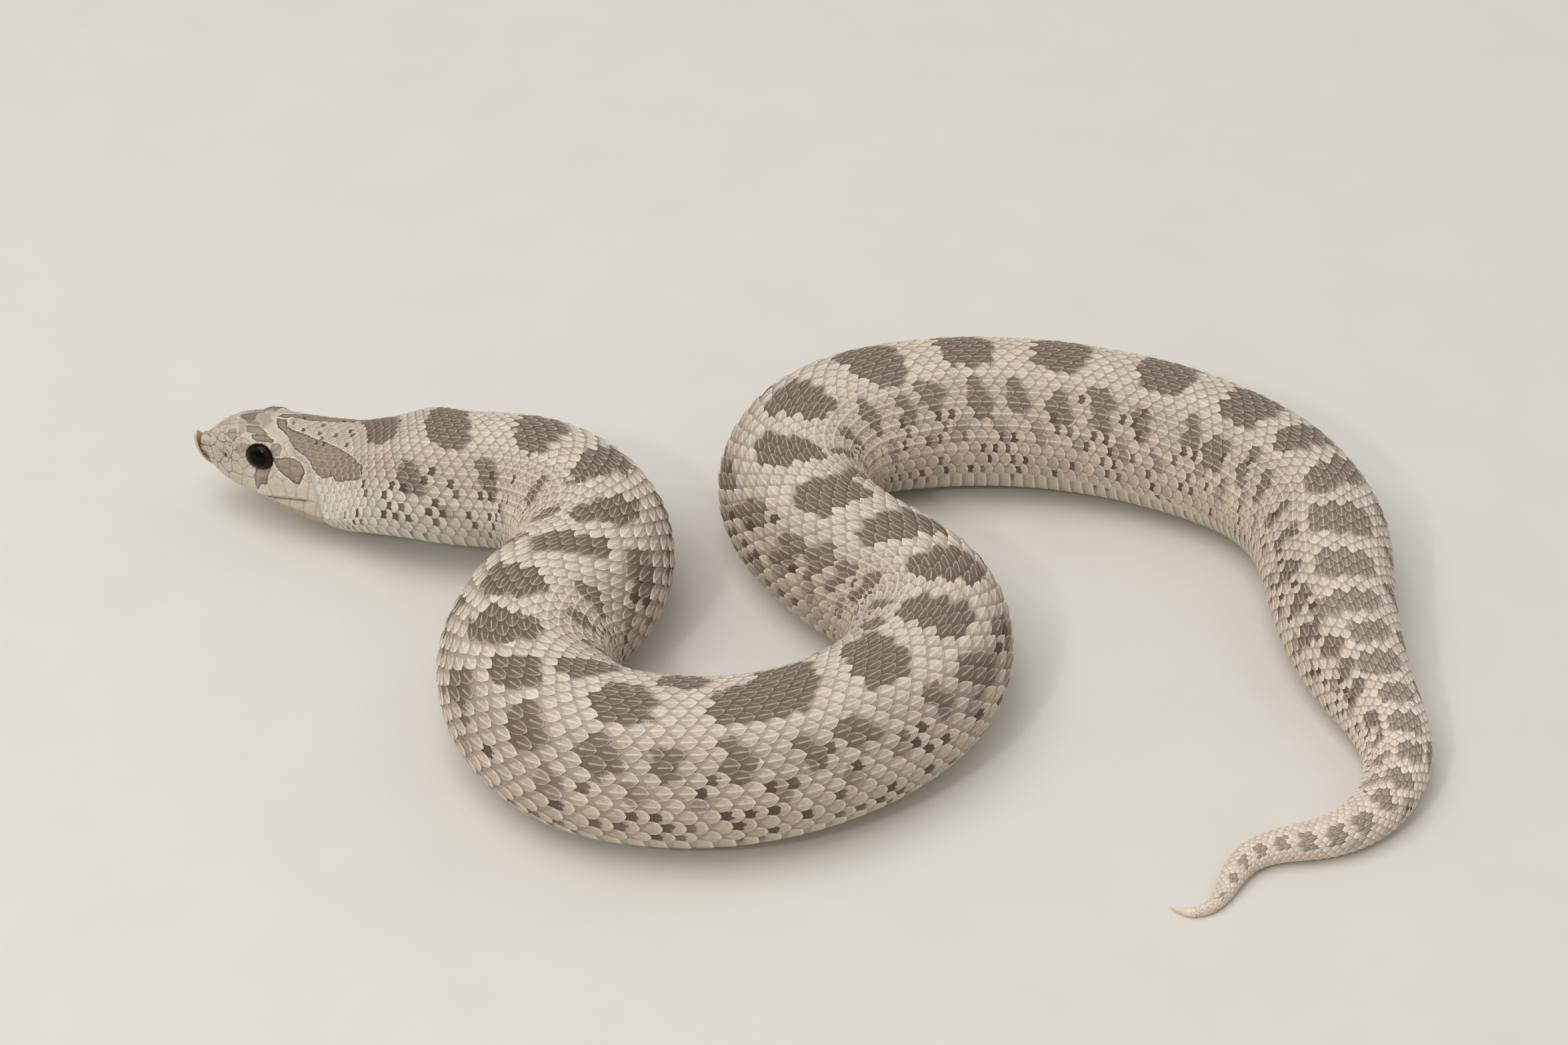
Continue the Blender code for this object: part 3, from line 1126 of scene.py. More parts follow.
def lay_out(mesh: Mesh, places: Array) -> None:
    """Give the mesh its bake map.

    Args:
        mesh: the mesh.
        places: one place on the map for each vertex.
    """
    layer = mesh.uv_layers.new(name=BAKE_MAP)
    owner = np.empty(len(mesh.loops), np.int32)
    mesh.loops.foreach_get("vertex_index", owner)
    layer.uv.foreach_set("vector", places[owner].astype(np.float32).ravel())


def sheet(rows: int, columns: int) -> tuple[Mesh, Array, Array]:
    """A flat grid to be wrapped onto the body.

    Args:
        rows: faces along the body.
        columns: faces round the body.

    Returns:
        The mesh, and each vertex's share of the way along and round, from 0 to 1.
    """
    bm = bmesh.new()
    bmesh.ops.create_grid(bm, x_segments=rows, y_segments=columns, size=0.5)
    mesh = taken(bm, "sheet")
    share = np.clip(corners_of(mesh) + 0.5, 0, 1)
    return mesh, share[:, 0], share[:, 1]


def move_to(mesh: Mesh, points: Array) -> None:
    """Set the vertices' places, given in millimetres."""
    above = np.concatenate([points[:, :2], np.maximum(points[:, 2:], 0)], 1)
    mesh.vertices.foreach_set("co", (above * MM).astype(np.float32).ravel())


# ---- The head's layout ----


@dataclass
class EyeSeat:
    """Where an eye sits in the head, which way it looks, and its size."""

    form: Form
    back: float = 11.7
    angle: float = 70.0
    radius: float = 2.62
    bulge: float = 1.38
    sunk: float = 0.8
    rim: float = 0.34
    tall: float = 0.87
    looks_up: float = 17.0
    looks_ahead: float = 12.0

    def axes(self, side: int) -> tuple[Array, Array, Array, Array]:
        """Centre of the eye, and unit vectors out of the head, up and tailwards.

        Args:
            side: 1 for the snake's left eye and -1 for its right.

        Returns:
            Four arrays of three numbers, in millimetres.
        """
        s = np.array([self.back])
        here = self.form.point(s, np.array([-side * self.angle]))[0]
        _, left = self.form.spine.at(s)
        lateral = np.array([*left[0], 0]) * -side
        ahead = np.array([-left[0][1], left[0][0], 0])
        up, turn = math.radians(self.looks_up), math.radians(self.looks_ahead)
        out = lateral * math.cos(up) + np.array([0, 0, math.sin(up)]) + ahead * math.sin(turn)
        out /= np.linalg.norm(out)
        back = -ahead - out * (-ahead @ out)
        back /= np.linalg.norm(back)
        high = np.cross(out, back)
        high *= 1 if high[2] > 0 else -1
        return here - out * self.sunk, out, high, back


@dataclass(frozen=True)
class Patch:
    """One dark patch on the head, drawn as an outline of (distance, angle) corners."""

    outline: tuple[tuple[float, float], ...]
    edge: float = 0.8
    depth: float = 1.0


@dataclass
class HeadPattern:
    """Colours of the head's shields, seen from the left; the right is the mirror image."""

    form: Form
    middle: float = 6.0
    patches: tuple[Patch, ...] = (
        Patch((
            (13.3, 4), (14.1, -6), (15.2, -10), (16.3, -18), (17.5, -32), (18.6, -38), (19.9, -42),
            (20.9, -50), (21.5, -59), (22.7, -66), (23.7, -70), (25.9, -64), (27.0, -70), (28.5, -69),
            (29.7, -66), (33.1, -63), (33.5, -55), (33.2, -46), (31.2, -40), (28.1, -27), (25.6, -17),
            (22.3, -9), (20.6, -7), (19.1, -4), (16.7, -3), (15.6, -1), (15.0, 5),
        )),
        Patch((
            (14.1, -62), (15.6, -58), (16.7, -53), (18.1, -51), (19.1, -54), (19.8, -60), (20.2, -68),
            (19.8, -76), (19.3, -84), (18.4, -84), (17.6, -82), (16.6, -80), (15.5, -76), (14.5, -70),
        )),
        Patch(((13.9, -38), (15.2, -34), (15.7, -42), (15.5, -54), (14.4, -60), (13.8, -50)), 0.2, 0.7),
        Patch((
            (10.9, -84), (13.6, -78), (13.7, -86), (13.3, -92), (12.3, -93), (11.6, -101), (11.0, -97),
        ), 0.4, 0.9),
        Patch(((6.7, 6), (9.8, 6), (9.9, 1), (9.8, -1.4), (8.3, -1.4), (7.3, 1.5)), 0.5, 0.85),
        Patch(((8.4, -2.2), (10.3, -2.0), (11.0, -4.5), (10.7, -8), (8.8, -8)), 0.3, 0.6),
        Patch(((8.8, -13), (10.9, -9), (12.9, -23), (11.8, -28.5), (9.1, -29)), 0.4, 0.85),
        Patch(((10.0, -32), (12.7, -25), (14.2, -32), (13.9, -38), (11.3, -44), (10.2, -40)), 0.5, 1.0),
        Patch(((5.4, -35), (5.6, -24), (7.0, -22), (7.5, -44), (7.0, -53), (5.8, -46)), 0.2, 0.6),
        Patch(((7.1, -72), (7.6, -60), (8.5, -52), (10.2, -52), (9.3, -66), (7.8, -74)), 0.0, 0.5),
    )

    def _distance(self, s: Array, angle: Array, patch: Patch) -> Array:
        """Measure how far points lie from a patch's outline.

        Args:
            s: distances from the snout.
            angle: angles from the top.
            patch: the patch.

        Returns:
            Distances in millimetres, negative inside.
        """
        reach = course(self.form.half_width, s) * math.radians(1) * 0.86
        corners = np.array(patch.outline, float)
        inside = np.zeros(s.shape, bool)
        best = np.full(s.shape, 1e9)
        for (s0, a0), (s1, a1) in zip(corners, np.roll(corners, -1, 0)):
            crosses = (a0 > angle) != (a1 > angle)
            rise = a1 - a0 if a1 != a0 else 1e-9
            inside ^= crosses & (s < (s1 - s0) * (angle - a0) / rise + s0)
            ds, da = s1 - s0, (a1 - a0) * reach
            ps, pa = s - s0, (angle - a0) * reach
            t = np.clip((ps * ds + pa * da) / (ds * ds + da * da), 0, 1)
            best = np.minimum(best, np.hypot(ps - t * ds, pa - t * da))
        return np.where(inside, -best, best)

    def lines(self, s: Array, angle: Array) -> tuple[Array, Array, Array]:
        """How far each point lies from a patch, how dark that patch is and how bright its border.

        Args:
            s: distances from the snout.
            angle: angles from the top.

        Returns:
            Distance outside the nearest patch, negative inside it, its depth and its border.
        """
        seen = np.where(angle > self.middle, 2 * self.middle - angle, angle)
        gap, depth, edge = (np.full(s.shape, value) for value in (FAR, 0.0, 0.0))
        for patch in self.patches:
            away = self._distance(s, seen, patch)
            nearer = away < gap
            gap = np.where(nearer, away, gap)
            depth, edge = np.where(nearer, patch.depth, depth), np.where(nearer, patch.edge, edge)
        return gap, depth, edge


@dataclass
class Shields:
    """The head's shields: each point belongs to the nearest shield centre, weighed by its size."""

    form: Form
    crown: tuple[Triple, ...] = (
        (1.2, 0, 0.5), (2.3, 15, 0.5), (3.1, 34, 0.6), (2.2, 52, 0.8), (3.5, 0, 0.45), (4.6, 0, 0.42),
        (4.3, 15, 0.5), (4.2, 50, 0.6), (6.0, 20, 0.85), (6.1, 44, 0.7), (6.2, 2, 0.6), (9.7, 0, 1.45),
        (10.7, 38, 1.05), (14.5, 14, 1.35), (14.0, 43, 0.7), (15.5, 52, 0.75), (17.3, 34, 0.8),
        (17.5, 6, 0.85), (18.5, 22, 0.8), (20.4, 6, 0.8), (20.4, 30, 0.8), (4.0, 68, 0.7), (5.9, 70, 0.7),
        (7.4, 60, 0.65), (7.5, 76, 0.6), (3.4, 86, 0.8), (5.5, 92, 0.7), (7.5, 90, 0.6), (1.4, 72, 0.6),
        (1.8, 92, 0.7), (16.2, 64, 0.85), (16.3, 78, 0.85), (18.7, 56, 0.85), (18.8, 68, 0.85),
        (18.9, 82, 0.8), (20.8, 74, 0.75), (20.9, 60, 0.8),
    )
    upper_lip: tuple[float, ...] = (2.5, 4.7, 7.1, 9.8, 12.5, 15.2, 17.7, 20.0, 22.3)
    lower_lip: tuple[float, ...] = (4.6, 6.8, 9.0, 11.3, 13.7, 16.2, 18.8, 21.4, 24.0)
    chin: tuple[Triple, ...] = ((3.9, 180, 0.7), (7.6, 164, 1.3), (12.2, 162, 1.2))
    eye_ring: int = 11
    eye_ring_radius: float = 3.15
    eye_ring_size: float = 0.62
    throat_size: float = 0.8

    def mouth_angle(self, s: Array) -> Array:
        """Find the line of the mouth.

        Args:
            s: distances from the snout.

        Returns:
            Its angles from the top.
        """
        fine = np.linspace(60, 150, 181)
        found = []
        for one in np.atleast_1d(s):
            _, rise = self.form.section(np.full_like(fine, one), fine)
            found.append(np.interp(-float(course(self.form.mouth, one)), -rise, fine))
        return np.array(found)

    def centres(self, eye: EyeSeat) -> tuple[Array, Array]:
        """Set out all shields on both sides of the head.

        Args:
            eye: where the eyes sit.

        Returns:
            Places and sizes.
        """
        rows = [*self.crown]
        for lip, shift, size in ((self.upper_lip, -8.5, 0.95), (self.lower_lip, 9.0, 0.9)):
            rows += [(s, a + shift, size) for s, a in zip(lip, self.mouth_angle(np.array(lip)))]
        rows += self.chin
        for rank in range(6):
            first = 128 + 5.5 * (rank % 2)
            rows += [(15.5 + 2.1 * rank, first + 11 * i, self.throat_size) for i in range(5)]
        rows += [(10.0 + 2.4 * i, 138, self.throat_size) for i in range(3)]
        s, a, w = (np.array(column, float) for column in zip(*rows))
        points, sizes = [self.form.point(s, a), self.form.point(s, -a)], [w, w]
        turn = np.linspace(0, 2 * math.pi, self.eye_ring, endpoint=False)[:, None] + 0.2
        for side in (1, -1):
            centre, out, up, back = eye.axes(side)
            ring = centre + self.eye_ring_radius * (np.cos(turn) * back + np.sin(turn) * up)
            points.append(ring + out * 0.6)
            sizes.append(np.full(self.eye_ring, self.eye_ring_size))
        return np.concatenate(points), np.concatenate(sizes)

    def seams(self, points: Array, eye: EyeSeat) -> tuple[Array, Array]:
        """Find the seams between shields.

        Args:
            points: places on the head.
            eye: where the eyes sit.

        Returns:
            Each point's distance from the nearest seam, and the number of the shield it is on.
        """
        centres, sizes = self.centres(eye)
        reach = np.linalg.norm(points[:, None, :] - centres[None], axis=-1) / sizes
        order = np.argpartition(reach, 1, axis=1)[:, :2]
        first = np.take_along_axis(reach, order, 1)
        swap = first[:, 0] > first[:, 1]
        order[swap] = order[swap][:, ::-1]
        first = np.sort(first, 1)
        scale = sizes[order].mean(1)
        return (first[:, 1] - first[:, 0]) * scale / 2, order[:, 0]


# ---- The skin ----


FLESH = (
    "head", "lower_jaw", "neck", "trunk_first_bend", "trunk_second_bend", "trunk_front_run",
    "trunk_third_bend", "trunk_fourth_bend", "trunk_back_run", "trunk_hip_bend",
    "trunk_vent_length", "tail_base", "tail_tip",
)


@dataclass
class Skin:
    """The one skin of the whole animal."""

    form: Form
    lattice: Lattice
    markings: Markings
    shields: Shields
    pattern: HeadPattern
    eye: EyeSeat
    head_rings: int = 206
    head_columns: int = 320
    body_rings: int = 300
    body_columns: int = 52
    front: float = -0.35
    nose_round: float = 0.8
    nose_share: float = 0.06
    tip_round: float = 0.6
    tip_share: float = 0.015
    join: float = 26.4
    short_of_tip: float = 2.1
    coat_edge: Stations = (
        (0, 15.6), (30, 16.2), (50, 17.5), (70, 19.5), (95, 22.5), (108, 23.5), (130, 22.5), (180, 22.5),
    )
    jaw_front: Stations = ((3.0, 0.0), (3.3, 1.0), (4.2, 2.2), (6.0, 3.6), (9.0, 6.0))
    nostril: tuple[float, float] = (5.2, 84.0)
    head_share: float = 0.45
    # darkening of the skin under the coat, which shows between scales: partly darker skin, partly painted
    # shade
    under_coat_skin_and_shade: float = 0.5
    lip_ledge: float = 0.22
    lip_groove: float = 0.42
    groove_width: float = 0.17
    nostril_depth: float = 0.75
    socket_depth: float = 0.9

    def build(self) -> Piece:
        """Wrap, weld and close the skin.

        Returns:
            The finished piece.
        """
        head, body = self._head(), self._body()
        bm = bmesh.new()
        for mesh in (head, body):
            bm.from_mesh(mesh)
            bpy.data.meshes.remove(mesh)
        bmesh.ops.remove_doubles(bm, verts=bm.verts, dist=MERGE)
        open_edges = [edge for edge in bm.edges if edge.is_boundary]
        bridged = bmesh.ops.bridge_loops(bm, edges=open_edges)
        self._map_bridge(bm, bridged["faces"])
        bmesh.ops.recalc_face_normals(bm, faces=bm.faces)
        return settle(make_object("skin", taken(bm, "skin"), SKIN, 80), "skin", *FLESH)

    def _map_bridge(self, bm: bmesh.types.BMesh, faces: list) -> None:
        """Give the joining faces the bake places of their neighbours.

        Args:
            bm: the skin.
            faces: the faces that join its two lengths.
        """
        layer = bm.loops.layers.uv[BAKE_MAP]
        fresh = set(faces)
        for face in faces:
            for loop in face.loops:
                known = [other for other in loop.vert.link_loops if other.face not in fresh]
                if known:
                    loop[layer].uv = known[0][layer].uv

    def covered(self, s: Array, angle: Array) -> Array:
        """Share of the coat's depth that lies over the skin.

        Args:
            s: distances from the snout.
            angle: angles from the top.

        Returns:
            Shares, which are 0 on the head's shields and 1 on the body.
        """
        away = np.abs(self.lattice.from_back(s, angle))
        edge = course(self.coat_edge, np.minimum(away, 180))
        return ease(s, edge - 0.4, edge + 1.6)

    def _head(self) -> Mesh:
        """Wrap the fine skin of the head, with all its relief.

        Returns:
            The mesh.
        """
        mesh, along, around = sheet(self.head_rings, self.head_columns)
        share = np.clip(along / self.nose_share, 0, 1)
        rest = np.clip((along - self.nose_share) / (1 - self.nose_share), 0, 1)
        s = self.front + self.nose_round * (1 - np.cos(share * math.pi / 2))
        s = s + rest * (self.join - self.front - self.nose_round)
        angle = self.form.shared_out(s, (around * 2 - 1) * (UNDERSIDE - 0.001))
        side, rise = self.form.section(s, angle)
        taper = np.sin(share * math.pi / 2)
        limit = course(self.form.mouth, s) - course(self.jaw_front, s)
        underside = rise < limit
        rise = np.where((s < 9) & underside, limit, rise)
        middle = limit * 0.35
        side, rise = side * taper, middle * (1 - taper) + rise * taper
        place, left = self.form.spine.at(s)
        height = self.form.axis(s) + rise
        points = np.concatenate([place + side[:, None] * left, height[:, None]], 1)
        normals = self.form.normal(s, angle)
        normals[underside & (s < 3.2)] = (0, 0, -1)
        seam, shield = self.shields.seams(points, self.eye)
        gap, depth, edge = self.pattern.lines(s, angle)
        covered = self.covered(s, angle)
        relief, colour = self._relief(points, s, angle, rise, seam, shield)
        points = points + normals * (relief * taper)[:, None]
        move_to(mesh, points)
        paint(mesh, colour)
        keep(mesh, LINES, gap, seam, depth * (1 - covered * 0.4), edge * (1 - covered))
        snout = ease(s, 10.5, 6.0) * ease(np.abs(angle), 18, 45) * ease(np.abs(angle), 106, 92)
        bold = 0.34 + 0.58 * ease(s, 9, 5.5) * ease(np.abs(angle), 15, 45)
        keep(mesh, ZONES, snout * 0.85, bold, 1 - covered, covered)
        lay_out(mesh, np.stack([along * self.head_share, around], 1))
        return mesh

    def _relief(
        self,
        points: Array,
        s: Array,
        angle: Array,
        rise: Array,
        seam: Array,
        shield: Array,
    ) -> tuple[Array, Array]:
        """Height and colour of the head's skin.

        Args:
            points: places of the vertices on the plain form.
            s: their distances from the snout.
            angle: their angles from the top.
            rise: their heights from the head's axis.
            seam: their distances from the nearest seam between shields.
            shield: the number of the shield each lies on.

        Returns:
            Heights above the plain form, and colours.
        """
        covered = self.covered(s, angle)
        shown = 1 - covered
        relief = shown * (0.05 * ease(seam, 0, 0.7) - 0.07 * np.exp(-((seam / 0.09) ** 2)) - 0.03)
        relief = relief + self._brow(s, angle) - covered * self.lattice.depth(s)
        colour = self._colour(s, angle, rise) * (1 + 0.05 * np.sin(shield * 12.9898))[:, None]
        relief, colour = self._mouth(relief, colour, s, rise)
        relief, colour = self._nostril(relief, colour, points)
        return self._sockets(relief, colour, points)

    def _brow(self, s: Array, angle: Array) -> Array:
        """Shape the brow over each eye, which runs forward to the snout, and the snout's slope.

        Args:
            s: distances from the snout.
            angle: angles from the top.

        Returns:
            Heights above the plain form.
        """
        away = np.abs(angle)
        ridge = 0.14 * np.exp(-(((away - 43) / 15) ** 2)) * ease(s, 4.6, 7.6) * ease(s, 15.6, 12.6)
        crown = 0.12 * ease(away, 34, 10) * ease(s, 5.0, 8.0) * ease(s, 17.0, 13.0)
        slope = -0.5 * ease(s, 4.6, 1.8) * ease(away, 80, 45)
        return ridge + crown + slope

    def _colour(self, s: Array, angle: Array, rise: Array) -> Array:
        """Ground colour of the head, with painted shade under the jaw.

        Args:
            s: distances from the snout.
            angle: angles from the top.
            rise: heights from the head's axis.

        Returns:
            Colours.
        """
        below = course(self.form.mouth, s) - rise
        away = np.abs(angle)
        colour = blend(Tone.CROWN.rgb, Tone.LIP.rgb, ease(away, 70, 88))
        # underside of the jaw: yellowish chin colour with painted shade
        jaw = ease(below, 0.5, 3.2) * ease(s, 26, 18) * ease(away, 150, 120)
        colour = blend(colour, Tone.CHIN.rgb, jaw)
        colour = blend(colour, Tone.BELLY.rgb, ease(away, 125, 150))
        colour = blend(colour, Tone.SNOUT.rgb, ease(s, 8.5, 5.0) * ease(away, 96, 80) * 0.8)
        body = self.markings.body(s, angle)
        # skin under the coat darkened: partly its own colour, partly painted shade between scales
        return blend(colour, body * self.under_coat_skin_and_shade, self.covered(s, angle))

    def _mouth(self, relief: Array, colour: Array, s: Array, rise: Array) -> tuple[Array, Array]:
        """Cut the line of the mouth, with the lower jaw a little inside the lip.

        Args:
            relief: heights so far.
            colour: colours so far.
            s: distances from the snout.
            rise: heights from the head's axis.

        Returns:
            The new heights and colours.
        """
        below = course(self.form.mouth, s) - rise
        fade = ease(s, 22.8, 19.6) * ease(s, 1.5, 3.4)
        groove = np.exp(-((below / self.groove_width) ** 2))
        ledge = self.lip_ledge * ease(below, 0.0, 0.45) * ease(below, 4.0, 1.5)
        relief = relief - fade * (self.lip_groove * groove + ledge)
        relief = relief + fade * 0.08 * np.exp(-(((below + 0.45) / 0.3) ** 2))
        return relief, blend(colour, Tone.SUTURE.rgb * 0.5, groove * fade * 0.75)

    def _nostril(self, relief: Array, colour: Array, points: Array) -> tuple[Array, Array]:
        """Sink a nostril on each side, in a raised pale ring, with painted shade in the hole.

        Args:
            relief: heights so far.
            colour: colours so far.
            points: places of the vertices on the plain form.

        Returns:
            The new heights and colours.
        """
        s, a = (np.array([value]) for value in self.nostril)
        for sign in (1, -1):
            away = np.linalg.norm(points - self.form.point(s, a * sign)[0], axis=1)
            relief = relief - self.nostril_depth * ease(away, 0.62, 0.16)
            relief = relief + 0.13 * np.exp(-(((away - 0.86) / 0.2) ** 2))
            colour = blend(colour, Tone.LIP.rgb * 1.02, ease(away, 1.1, 0.9) * 0.7)
            colour = blend(colour, Tone.SUTURE.rgb, np.exp(-(((away - 1.12) / 0.09) ** 2)) * 0.6)
            # painted shade in the nostril's hole
            colour = blend(colour, Tone.SOCKET.rgb, ease(away, 0.5, 0.3))
        return relief, colour

    def _sockets(self, relief: Array, colour: Array, points: Array) -> tuple[Array, Array]:
        """Sink a socket for each eye, with painted shade at its inner edge and a raised ring.

        Args:
            relief: heights so far.
            colour: colours so far.
            points: places of the vertices on the plain form.

        Returns:
            The new heights and colours.
        """
        for side in (1, -1):
            centre, out, high, back = self.eye.axes(side)
            arm = points - centre
            depth = arm @ out
            away = np.hypot(arm @ back, arm @ high / self.eye.tall)
            away = np.where(depth > -3, away, 99.0)
            relief = relief + (self.eye.rim - depth) * ease(away, 3.7, 2.75)
            relief = relief - self.socket_depth * ease(away, self.eye.radius, 2.1)
            relief = relief + 0.08 * np.exp(-(((away - 2.86) / 0.2) ** 2))
            # painted shade in the crease where the skin meets the eye
            colour = blend(colour, Tone.SOCKET.rgb, ease(away, 2.78, 2.6))
        return relief, colour

    def _body(self) -> Mesh:
        """Wrap the plainer skin that the coat covers, closed at the tail's tip.

        Returns:
            The mesh.
        """
        mesh, along, around = sheet(self.body_rings, self.body_columns)
        open_share = 1 - self.tip_share
        share = np.clip((along - open_share) / self.tip_share, 0, 1)
        first, last = self.join + 0.35, self.form.spine.length - self.short_of_tip
        s = first + along / open_share * (last - first)
        s = np.where(along > open_share, last + self.tip_round * np.sin(share * math.pi / 2), s)
        angle = (around * 2 - 1) * UNDERSIDE
        points = self.form.raised(s, angle, -self.lattice.depth(s))
        axis = self.form.core(s)
        taper = np.cos(share * math.pi / 2)[:, None]
        move_to(mesh, axis + (points - axis) * taper)
        # skin between the scales painted darker: partly its own colour, partly painted shade
        paint(mesh, self.markings.body(s, angle) * self.under_coat_skin_and_shade)
        gap, level, _ = self.pattern.lines(s, angle)
        none = np.zeros(len(s))
        keep(mesh, LINES, gap, none + FAR, level * 0.6, none)
        keep(mesh, ZONES, none, none, none, none + 1)
        lay_out(mesh, np.stack([self.head_share + along * (1 - self.head_share), around], 1))
        return mesh


# ---- The coat ----


def in_order(face: list[int]) -> list[int]:
    """List a face's corners from the lowest number on, so that every run lists them alike.

    Args:
        face: numbers of its corners, in turn.

    Returns:
        The same corners, in the same turn.
    """
    first = face.index(min(face))
    return face[first:] + face[:first]


@dataclass
class Tile:
    """One scale or scute as a closed grid: shares along and across, and whether it is on top."""

    rows: int
    columns: int

    def __post_init__(self) -> None:
        """Make the grid, drop a wall from its edge and close it underneath."""
        bm = bmesh.new()
        bmesh.ops.create_grid(bm, x_segments=self.rows, y_segments=self.columns, size=0.5)
        edge = [one for one in bm.edges if one.is_boundary]
        walls = bmesh.ops.extrude_edge_only(bm, edges=edge)
        lower = [one for one in walls["geom"] if isinstance(one, bmesh.types.BMVert)]
        bmesh.ops.translate(bm, verts=lower, vec=(0, 0, -1))
        rim = [one for one in bm.edges if one.is_boundary]
        bmesh.ops.edgeloop_fill(bm, edges=rim)
        bmesh.ops.recalc_face_normals(bm, faces=bm.faces)
        bm.verts.index_update()
        grid = np.array([vert.co for vert in bm.verts])
        self.along, self.across = grid[:, 0] + 0.5, grid[:, 1] * 2
        self.top = (grid[:, 2] > -0.5).astype(float)
        self.faces = sorted(in_order([vert.index for vert in face.verts]) for face in bm.faces)
        bm.free()

    def spread(self, count: int) -> tuple[Array, ...]:
        """List the vertices of many tiles.

        Args:
            count: how many tiles there are.

        Returns:
            Each vertex's tile, its shares along and across, and 1 where it is on top.
        """
        each = np.repeat(np.arange(count), len(self.along))
        return each, *(np.tile(column, count) for column in (self.along, self.across, self.top))

    def repeated(self, count: int) -> Mesh:
        """Join many tiles in one mesh, still flat, one after another.

        Args:
            count: how many tiles there are.

        Returns:
            The mesh.
        """
        size = len(self.along)
        faces = [[corner + size * i for corner in face] for i in range(count) for face in self.faces]
        mesh = bpy.data.meshes.new("tiles")
        mesh.from_pydata(np.zeros((size * count, 3)).tolist(), [], faces)
        return mesh


def lay_patches(mesh: Mesh, home: Array, tiles: tuple[Array, ...]) -> None:
    """Give each tile a small patch of the bake map, at its root's place on the skin's unwrap.

    Args:
        mesh: the mesh of many tiles.
        home: each tile's place on the map.
        tiles: what spread() lists.
    """
    each, along, across, _ = tiles
    lay_out(mesh, home[each] + np.stack([along - 0.5, across / 2], 1) * BAKE_PATCH)


class Stretch(Enum):
    """Lengths of the body that the coat's pieces cover, from and to."""

    NECK = (14.0, 84.0)
    FIRST_COIL = (84.0, 160.0)
    SECOND_COIL = (160.0, 228.0)
    THIRD_COIL = (228.0, 300.0)
    BACK_RUN = (300.0, 372.0)
    TAIL = (372.0, 457.0)


